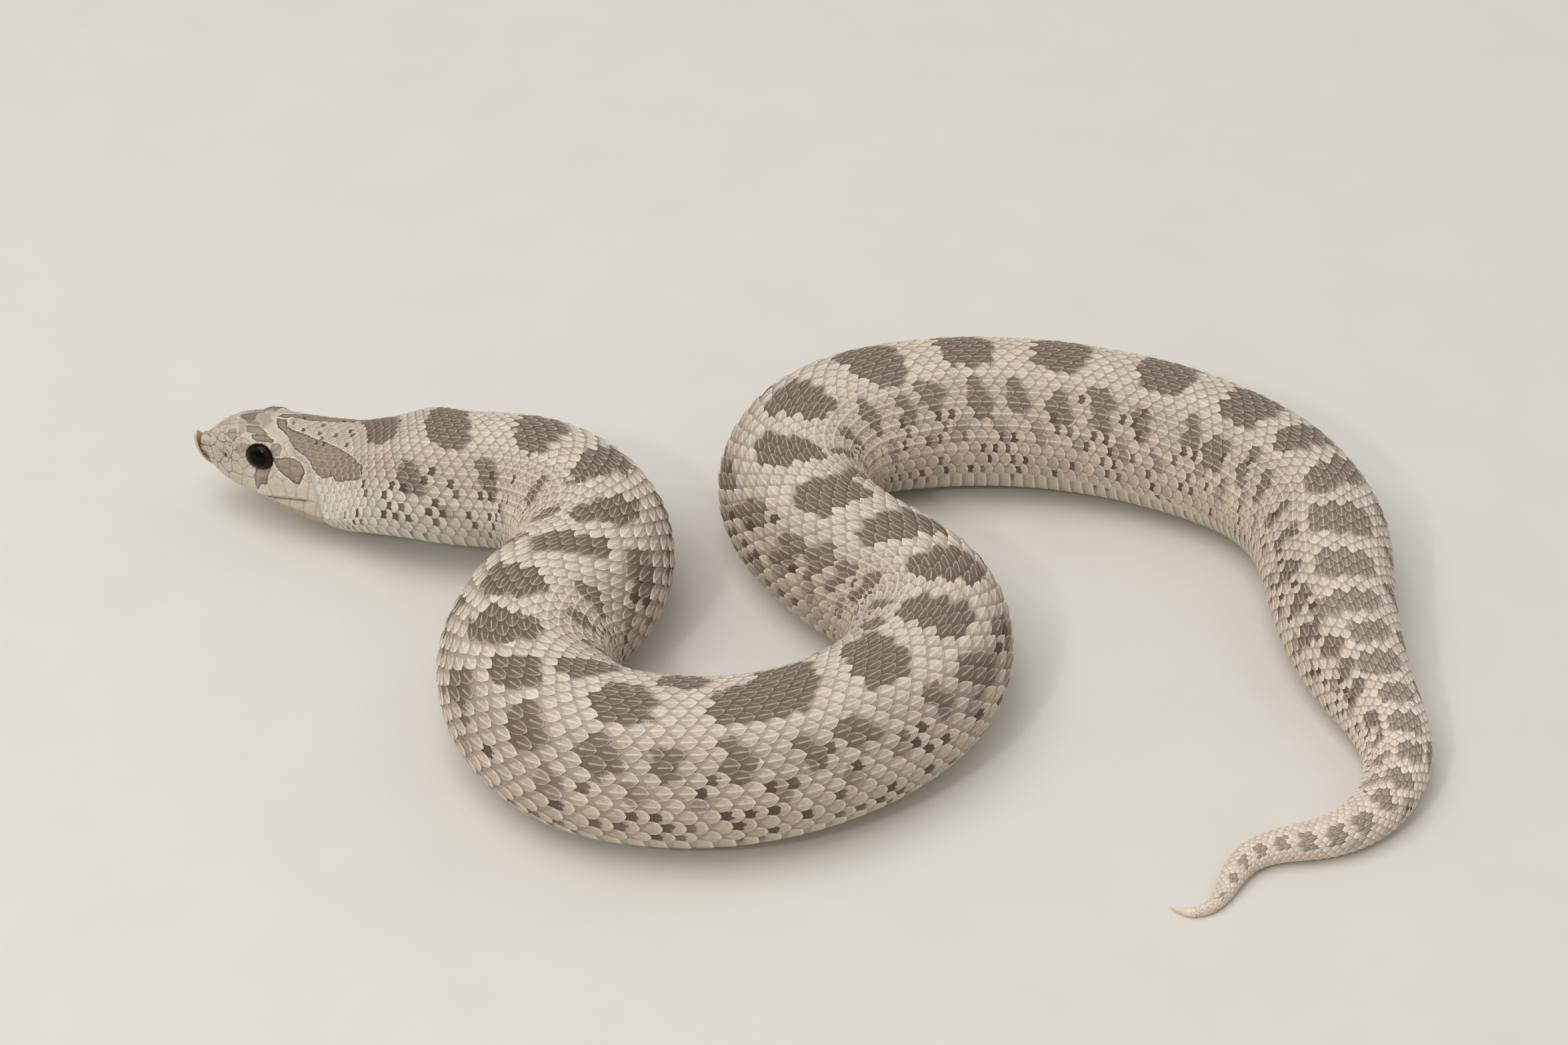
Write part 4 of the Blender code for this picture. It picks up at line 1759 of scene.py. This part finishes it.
@dataclass
class BackScales:
    """Keeled scales of the back and flanks, in slanting rows with half-step offsets."""

    form: Form
    lattice: Lattice
    markings: Markings
    pattern: HeadPattern
    skin: Skin
    stations: tuple[float, ...] = (0.0, 0.30, 0.46, 0.66, 0.84, 0.95, 1.0)
    columns: tuple[float, ...] = (0.0, 0.13, 0.60, 1.0)
    half_length: float = 0.69
    half_width: float = 0.66
    spare_row: float = 0.25
    bare_end: float = 3.0
    patches_end: float = 40.0
    fleck_share: float = 0.54
    seed: int = 7

    def __post_init__(self) -> None:
        """Make the one tile that all scales repeat, with its lines set where a scale bends."""
        rows, side = len(self.stations) - 1, len(self.columns) - 1
        self.tile = Tile(rows, side * 2)
        self.tile.along = np.interp(self.tile.along, np.linspace(0, 1, rows + 1), self.stations)
        size = np.interp(np.abs(self.tile.across), np.linspace(0, 1, side + 1), self.columns)
        self.tile.across = np.sign(self.tile.across) * size

    def build(self, stretch: Stretch) -> Piece:
        """Make one length of the coat as a joined mesh.

        Args:
            stretch: the length of the body that it covers.

        Returns:
            The finished piece.
        """
        start, end = stretch.value
        rank, row = self._places(start, end)
        count = len(rank)
        chance = np.random.default_rng(self.seed + int(start))
        jitter = np.clip(chance.normal(0, 1, (count, 6)), -2.2, 2.2)
        each, along, across, top = tiles = self.tile.spread(count)
        centre_s = self.lattice.along(rank)
        centre_a = self.lattice.angle(row, centre_s)
        low = np.abs(row) / course(self.lattice.half_rows, centre_s)
        x, y = self._outline(along, across, ease(low, 0.62, 0.85)[each])
        give = np.clip(self.form.stretch(centre_s, centre_a), 0.2, 2.0) ** -0.38
        reach = self.half_length * give * (1 + 0.025 * jitter[:, 0])
        x = x * reach[each] + 0.02 * jitter[each, 3] * along
        y = y * self.half_width * (1 + 0.03 * jitter[each, 1]) + 0.025 * jitter[each, 2] * along
        s = self.lattice.along(rank[each] + x)
        angle = self.lattice.angle(row[each] + y, s)
        keeled = ease(centre_s, 26, 50) * ease(low, 0.92, 0.7) * ease(centre_s, 452, 430)
        rise = self._heights(s, along, across, top, low[each], keeled[each], jitter[each, 3])
        mesh = self.tile.repeated(count)
        move_to(mesh, self.form.raised(s, angle, rise))
        bold = (0.4 + 0.6 * ease(centre_s, 22, 40) - 0.35 * ease(centre_s, 400, 430))[each]
        own = (0.35 + 0.35 * ease(centre_s, 34, 46) + 0.18 * ease(centre_s, 395, 415))[each]
        seen = (centre_s[each] * own + s * (1 - own) + 0.25, centre_a[each] * own + angle * (1 - own))
        warmth = 1 + np.outer(jitter[:, 5], (0.012, -0.004, -0.016))
        colour = self.markings.ground(*seen) * (1 + 0.055 * jitter[:, 4])[each][:, None] * warmth[each]
        paint(mesh, colour, bold)
        keep(mesh, SPOTS, *self.markings.cover(*seen))
        if start < self.patches_end:
            gap, depth, edge = self.pattern.lines(s, angle)
            keep(mesh, LINES, gap, gap * 0, depth * ease(s, self.patches_end, self.patches_end - 4), edge)
        keep(mesh, TILE, along, across, keeled[each], self._flecks(low, centre_s, jitter)[each])
        home = np.stack([(centre_s - start) / (end - start) * 0.98 + 0.01, centre_a / 380 + 0.5], 1)
        lay_patches(mesh, home, tiles)
        return settle(make_object("scales_" + stretch.name.lower(), mesh, COAT, CREASE), "skin")

    def _outline(self, along: Array, across: Array, round_end: Array) -> tuple[Array, Array]:
        """Shape of a scale seen from above, from -1 to 1 both ways.

        Args:
            along: share of the way from root to tip.
            across: share of the way to either side.
            round_end: 0 for a pointed scale of the back and 1 for a round one low on the flank.

        Returns:
            Places along and across.
        """
        past = np.clip((along - 0.5) / 0.5, 0, 1)
        end = 0.20 + 0.26 * round_end
        width = end + (1 - end) * np.clip(1 - past**2.1, 0, 1) ** (0.85 - 0.3 * round_end)
        width = width * (0.62 + 0.38 * ease(along, 0, 0.45))
        pulled = (0.10 + 0.05 * round_end) * across**2 * along**3
        return 2 * along - 1 - pulled + 0.04 * along, across * width

    def _places(self, start: float, end: float) -> tuple[Array, Array]:
        """Find all scales whose root lies in a length of the body.

        Args:
            start: where the length starts.
            end: where it ends.

        Returns:
            Their ranks and rows.
        """
        ranks, rows = [], []
        end = min(end, self.form.spine.length - self.bare_end)
        first = np.ceil(self.lattice.rank(np.array(start)))
        whole = np.arange(first - 1, self.lattice.rank(np.array(end)) + 1)
        widest = int(max(half for _, half in self.lattice.half_rows))
        for row in range(-widest, widest + 1):
            rank = whole + 0.5 * (row % 2)
            s = self.lattice.along(rank)
            angle = self.lattice.angle(np.full_like(s, row), s)
            away = np.abs(self.lattice.from_back(s, angle))
            kept = (s >= start) & (s < end)
            kept &= np.abs(row) <= course(self.lattice.half_rows, s) + self.spare_row
            kept &= s > course(self.skin.coat_edge, away) + 0.2
            ranks.append(rank[kept])
            rows.append(np.full(kept.sum(), row, float))
        return np.concatenate(ranks), np.concatenate(rows)

    def _heights(
        self,
        s: Array,
        along: Array,
        across: Array,
        top: Array,
        low: Array,
        keeled: Array,
        uneven: Array,
    ) -> Array:
        """Height of each vertex over the outer form, in millimetres.

        Args:
            s: distances from the snout.
            along: shares of the way from root to tip.
            across: shares of the way to either side.
            top: 1 on the upper face and 0 on the lower.
            low: 0 on the back and 1 at the belly scutes.
            keeled: how strong the scale's keel is.
            uneven: a chance number per scale.

        Returns:
            Heights.
        """
        out = np.abs(across)
        roof = keeled * (1 - out) + (1 - keeled) * (1 - out**2)
        pad = 0.24 + 0.14 * ease(low, 0.7, 0.95) + 0.14 * keeled
        body = ease(along, 0.10, 0.52) * (1 - 0.5 * ease(along, 0.74, 1.0))
        crest = 0.20 * keeled * np.exp(-((across / 0.12) ** 2)) * ease(along, 0.30, 0.55)
        lean = -0.98 + (0.74 + 0.05 * uneven) * along - 0.10 * ease(along, 0.86, 1.0)
        upper = lean + pad * roof * body + crest * (1 - 0.35 * ease(along, 0.9, 1.0))
        lower = np.where(along < 0.2, -1.3, upper - 0.30 - 0.30 * along * (1 - 0.6 * out))
        return self.lattice.depth(s) * (top * upper + (1 - top) * lower)

    def _flecks(self, low: Array, s: Array, jitter: Array) -> Array:
        """Choose the scales with a dark fleck at the root: about half of those low on the flanks.

        Args:
            low: 0 on the back and 1 at the belly scutes.
            s: distances from the snout.
            jitter: six chance numbers per scale.

        Returns:
            How dark each scale's fleck is, or 0 for none.
        """
        likely = ease(low, 0.36, 0.80) * self.fleck_share * ease(s, 28, 40) * ease(s, 425, 400)
        likely = np.maximum(likely, 0.3 * ease(s, 36, 30) * ease(low, 0.4, 0.25))
        chance = np.abs(np.sin(jitter[:, 5] * 91.7 + 3.1 * jitter[:, 2]))
        return np.where(chance < likely, 0.6 + 0.35 * np.abs(np.sin(jitter[:, 1] * 7)), 0.0)


@dataclass
class Scutes:
    """What the scutes of the belly and of the tail share."""

    form: Form
    lattice: Lattice
    start: float = 24.5
    end: float = 388.0
    overlap: float = 0.72
    tuck: float = 3.0
    clearance: float = 0.02

    def _ranks(self) -> tuple[float, float]:
        """Rank numbers where the scutes start and end."""
        return tuple(float(self.lattice.rank(np.array(at))) for at in (self.start, self.end))

    def _half_angle(self, s: Array) -> Array:
        """Angle from the middle of the underside to a scute's end, tucked under the lowest scales."""
        return UNDERSIDE - course(self.lattice.scute_edge, s) + self.tuck

    def _piece(
        self,
        name: str,
        tile: Tile,
        place: tuple[Array, Array],
        upper: Array,
        dress: tuple[Array, Array, Array],
        home: Array,
    ) -> Piece:
        """Join the scutes in one mesh and dress it.

        Args:
            name: the piece's name.
            tile: the scute that is repeated.
            place: each vertex's distance from the snout and angle from the top.
            upper: heights of the upper face, in depths of the coat.
            dress: colours, shares across that the lines follow, and flecks.
            home: each scute's place on the bake map.

        Returns:
            The finished piece.
        """
        _, along, _, top = tiles = tile.spread(len(home))
        colour, seen_across, fleck = dress
        lower = np.where(along < 0.3, -1.35, upper - 0.4)
        points = self.form.raised(*place, self.lattice.depth(place[0]) * (top * upper + (1 - top) * lower))
        points[:, 2] = np.maximum(points[:, 2], self.clearance)
        mesh = tile.repeated(len(home))
        move_to(mesh, points)
        paint(mesh, colour)
        keep(mesh, TILE, along, seen_across, along * 0, fleck)
        lay_patches(mesh, home, tiles)
        return settle(make_object(name, mesh, SCUTES, CREASE), "throat_skin")


@dataclass
class BellyScutes(Scutes):
    """Broad scutes across the belly, as far as the vent."""

    fleck_share: float = 0.36

    def build(self) -> Piece:
        """Make all belly scutes as one joined mesh.

        Returns:
            The finished piece.
        """
        tile = Tile(4, 18)
        first, last = self._ranks()
        rank = np.arange(math.ceil(first), math.floor(last))
        each, along, across, _ = tile.spread(len(rank))
        out = np.abs(across)
        s = self.lattice.along(rank[each] + (2 * along - 1) * self.overlap + 0.12 * (1 - across**8) * along)
        corner = 1 - 0.05 * ease(along, 0.6, 1.0) - 0.04 * ease(along, 0.3, 0.0)
        angle = course(self.lattice.back_line, s) + UNDERSIDE + across * self._half_angle(s) * corner
        ends = 0.25 + 0.5 * ease(out, 0.55, 0.8) * ease(out, 1.02, 0.9)
        upper = -0.98 + 0.78 * along + ends * np.sin(math.pi * np.clip(along, 0.1, 0.9)) * 0.8
        flecked = (np.abs(np.sin(rank * 12.9898)) < self.fleck_share).astype(float)[each]
        dress = (self._colours(s, angle, out), across * 0.6, flecked * ease(out, 0.8, 0.95))
        home = np.stack([(rank - rank[0]) / len(rank) * 0.97 + 0.01, np.full(len(rank), 0.5)], 1)
        return self._piece("belly_scutes", tile, (s, angle), upper, dress, home)

    def _colours(self, s: Array, angle: Array, out: Array) -> Array:
        """Cream scutes, with faint grey clouds towards the sides.

        Args:
            s: distances from the snout.
            angle: angles from the top.
            out: shares of the way to either end.

        Returns:
            Colours.
        """
        colour = blend(Tone.BELLY.rgb, Tone.THROAT.rgb, ease(s, 80, 45))
        cloud = ease(wobble(s, angle, 0.35, 8.0), 0.2, 0.8) * ease(out, 0.2, 0.7)
        return blend(colour, Tone.FLANK.rgb * 0.72, cloud * 0.45)


@dataclass
class TailScutes(Scutes):
    """Paired scutes under the tail, the two sides half a step apart."""

    start: float = 387.2
    end: float = 453.6

    def build(self) -> Piece:
        """Make all tail scutes as one joined mesh.

        Returns:
            The finished piece.
        """
        tile = Tile(4, 8)
        first, last = self._ranks()
        ranks = np.arange(first, last)
        rank = np.concatenate([ranks, ranks + 0.5])
        side = np.repeat([-1.0, 1.0], len(ranks))
        each, along, across, _ = tile.spread(len(rank))
        crown = 1 - across**2
        s = self.lattice.along(rank[each] + (2 * along - 1) * self.overlap + 0.22 * crown * along)
        reach = 0.5 + 0.52 * across * (1 - 0.3 * ease(along, 0.55, 1.0))
        angle = course(self.lattice.back_line, s) + UNDERSIDE + side[each] * self._half_angle(s) * reach
        upper = -0.98 + 0.72 * along + 0.3 * crown * np.sin(math.pi * np.clip(along, 0.1, 0.9))
        dress = (np.broadcast_to(Tone.BELLY.rgb, (len(s), 3)), across, along * 0)
        home = np.stack([(rank - first) / (last - first + 1) * 0.97 + 0.01, 0.5 + 0.2 * side], 1)
        return self._piece("tail_scutes", tile, (s, angle), upper, dress, home)


# ---- Eyes, snout scale and tail spine ----


@dataclass
class Eye:
    """One eye under its clear scale."""

    seat: EyeSeat
    segments: int = 64
    rings: int = 40
    pupil: float = 0.60
    iris: Triple = (0.017, 0.009, 0.0055)
    pupil_colour: Triple = (0.0015, 0.0012, 0.0012)

    def build(self, side: int) -> Piece:
        """Make the eye on one side of the head.

        Args:
            side: 1 for the snake's left eye and -1 for its right.

        Returns:
            The finished piece.
        """
        centre, out, up, back = self.seat.axes(side)
        bm = bmesh.new()
        bmesh.ops.create_uvsphere(bm, u_segments=self.segments, v_segments=self.rings, radius=1)
        mesh = taken(bm, "eye")
        ball = corners_of(mesh)
        size = np.array([self.seat.radius, self.seat.radius * self.seat.tall, self.seat.bulge])
        move_to(mesh, centre + (ball * size) @ np.stack([back, up, out]))
        paint(mesh, self._colours(ball))
        name = "eye_left" if side > 0 else "eye_right"
        return settle(make_object(name + "_ball", welded(mesh), EYE, 80), "eye", name)

    def _colours(self, ball: Array) -> Array:
        """Black round pupil, dark brown iris that is lighter below, and a black outer edge.

        Args:
            ball: places on a ball of radius 1 that looks along its third axis.

        Returns:
            Colours.
        """
        away = np.where(ball[:, 2] > 0, np.hypot(ball[:, 0], ball[:, 1]), 1.0)
        turn = np.arctan2(ball[:, 1], ball[:, 0])
        iris = np.array(self.iris) * (1 + 0.25 * np.sin(turn * 23) * np.sin(turn * 7 + 1))[:, None]
        iris = iris * (1 + 0.7 * ease(-ball[:, 1], 0.1, 0.8))[:, None]
        black = np.array(self.pupil_colour)
        colour = blend(black, iris, ease(away, self.pupil - 0.03, self.pupil + 0.04))
        return blend(colour, black, ease(away, 0.84, 0.95))


@dataclass
class SnoutScale:
    """The upturned shovel scale: a cupped spade with a blunt rim and a keel on its upper side."""

    form: Form
    side_line: Stations = (
        (0.0, -2.4), (0.15, -0.75), (0.3, 0.1), (0.5, 0.82), (0.7, 1.14), (0.85, 1.18), (1.0, 1.02),
    )
    height_line: Stations = (
        (0.0, -2.6), (0.15, -2.95), (0.3, -2.45), (0.5, -1.4), (0.7, -0.2), (0.85, 0.7), (1.0, 1.5),
    )
    half_width: Stations = (
        (0.0, 2.2), (0.15, 2.75), (0.3, 2.65), (0.5, 2.3), (0.7, 1.7), (0.85, 1.25), (1.0, 0.9),
    )
    sweep: Stations = (
        (0.0, 1.6), (0.15, 1.75), (0.3, 1.5), (0.5, 1.15), (0.7, 0.75), (0.85, 0.4), (1.0, 0.15),
    )
    thick: Stations = ((0.0, 0.9), (0.3, 0.85), (0.8, 0.68), (1.0, 0.5))
    rim_start: float = 0.7
    rim_round: float = 2.4
    squareness: float = 0.75
    levels: int = 30
    steps: int = 28

    def build(self) -> Piece:
        """Make the plate as a closed tube of rings from the lip to the rim.

        Returns:
            The finished piece.
        """
        mesh, along, around = sheet(self.levels, self.steps)
        s = np.zeros(len(along))
        _, left = self.form.spine.at(s)
        ahead = np.stack([-left[:, 1], left[:, 0], s], 1)
        left = np.concatenate([left, s[:, None]], 1)
        turn = around * 2 * math.pi
        u, front = (np.sign(wave) * np.abs(wave) ** self.squareness for wave in (np.sin(turn), np.cos(turn)))
        past = np.clip((along - self.rim_start) / (1 - self.rim_start), 0, 1)
        spade = np.clip(1 - past**self.rim_round, 0, 1) ** (1 / self.rim_round)
        width = course(self.half_width, along) * spade
        body = course(self.thick, along) * (1 - 0.25 * u**2) * np.clip(1 - past**7, 0, 1) ** 0.5 / 2
        cup = 0.16 * (1 - u**2) * np.sin(math.pi * np.clip(along, 0, 1)) * (front > 0)
        keel = 0.30 * np.exp(-((u / 0.2) ** 2)) * (front < 0) * ease(along, 1.0, 0.7)
        line, high = course(self.side_line, along), course(self.height_line, along)
        forward = line - course(self.sweep, along) * u**2 + body * front - cup - keel
        base = self.form.core(s)
        points = base + ahead * forward[:, None] + left * (u * width)[:, None]
        points[:, 2] += high + 0.25 * u**2 * past
        middle = base + ahead * line[:, None]
        middle[:, 2] += high
        closed = (along < 1e-6) | (along > 1 - 1e-6)
        move_to(mesh, np.where(closed[:, None], middle, points))
        made = make_object("rostral_plate", welded(mesh), HORN, 60)
        return settle(made, "rostral_horn", "rostral_scale")


@dataclass
class TailSpine:
    """The small horny cone that ends the tail."""

    form: Form
    start: float = 454.0
    beyond: float = 1.5
    proud: float = 0.04
    point_curve: float = 1.3
    rings: int = 14
    steps: int = 20

    def build(self) -> Piece:
        """Make the cone over the last of the skin.

        Returns:
            The finished piece.
        """
        mesh, along, around = sheet(self.rings, self.steps)
        s = self.start + along * (self.form.spine.length + self.beyond - self.start)
        root = np.full_like(s, self.start)
        shape = np.clip(1 - along**self.point_curve, 0, 1) ** 0.75 * (along > 0)
        outer = self.form.raised(root, (around * 2 - 1) * UNDERSIDE, np.full_like(s, self.proud))
        move_to(mesh, self.form.core(s) + (outer - self.form.core(root)) * shape[:, None])
        return settle(make_object("tail_spine", welded(mesh), TIP, 60), "skin")


# ---- Stage ----


@dataclass
class Stage:
    """Pale floor, soft lights and the camera."""

    target: Triple = (-0.00123, 0.03093, 0.0)
    distance: float = 0.6586
    elevation: float = 42.0
    lens: float = 87.245
    sensor: float = 36.0
    sky: float = 0.46

    def build(self) -> None:
        """Set the stage."""
        self._floor()
        self._light("key", (-0.32, -0.12, 1.0), 0.85, 6.2, (1.0, 0.975, 0.94))
        self._light("fill", (0.7, 0.45, 0.75), 0.8, 1.2, (1.0, 0.99, 0.97))
        self._light("sparkle", (-0.45, -0.62, 0.72), 0.08, 1.5, (1.0, 0.98, 0.95))
        self._world()
        self._camera()

    def _floor(self) -> None:
        """A plain matt floor under the snake's belly."""
        bm = bmesh.new()
        bmesh.ops.create_grid(bm, x_segments=1, y_segments=1, size=3)
        make_object("floor", taken(bm, "floor"), FLOOR)

    def _light(self, name: str, place: Triple, size: float, watts: float, tint: Triple) -> None:
        """Hang a square soft light aimed at the snake.

        Args:
            name: the light's name.
            place: where it hangs, in metres.
            size: its side in metres.
            watts: its power.
            tint: its colour.
        """
        data = bpy.data.lights.new(name, "AREA")
        data.energy, data.size, data.color = watts, size, tint
        lamp = bpy.data.objects.new(name, data)
        bpy.context.scene.collection.objects.link(lamp)
        lamp.location = place
        aim = Vector(self.target) - Vector(place)
        lamp.rotation_euler = aim.to_track_quat("-Z", "Y").to_euler()

    def _world(self) -> None:
        """Even pale surroundings."""
        world = bpy.data.worlds.new("studio")
        world.use_nodes = True
        sky = world.node_tree.nodes["Background"]
        sky.inputs["Color"].default_value = (1.0, 0.98, 0.95, 1)
        sky.inputs["Strength"].default_value = self.sky
        bpy.context.scene.world = world

    def _camera(self) -> None:
        """The camera, looking down at the coils from the front."""
        data = bpy.data.cameras.new("camera")
        data.lens, data.sensor_width, data.clip_start = self.lens, self.sensor, 0.01
        camera = bpy.data.objects.new("camera", data)
        bpy.context.scene.collection.objects.link(camera)
        tilt = math.radians(self.elevation)
        away = Vector((0, -math.cos(tilt), math.sin(tilt))) * self.distance
        camera.location = Vector(self.target) + away
        camera.rotation_euler = (math.pi / 2 - tilt, 0, 0)
        bpy.context.scene.camera = camera
        bpy.context.scene.view_settings.view_transform = "Standard"


def main() -> None:
    """Build every piece round the frame."""
    logging.basicConfig(level=logging.INFO, format="%(name)s: %(message)s")
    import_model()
    Stage().build()
    form = Form()
    lattice = Lattice(form)
    markings = Markings(lattice)
    pattern = HeadPattern(form)
    seat = EyeSeat(form)
    skin = Skin(form, lattice, markings, Shields(form), pattern, seat)
    skin.build()
    scales = BackScales(form, lattice, markings, pattern, skin)
    for stretch in Stretch:
        scales.build(stretch)
    BellyScutes(form, lattice).build()
    TailScutes(form, lattice).build()
    for side in (1, -1):
        Eye(seat).build(side)
    SnoutScale(form).build()
    TailSpine(form).build()


if __name__ == "__main__":
    main()
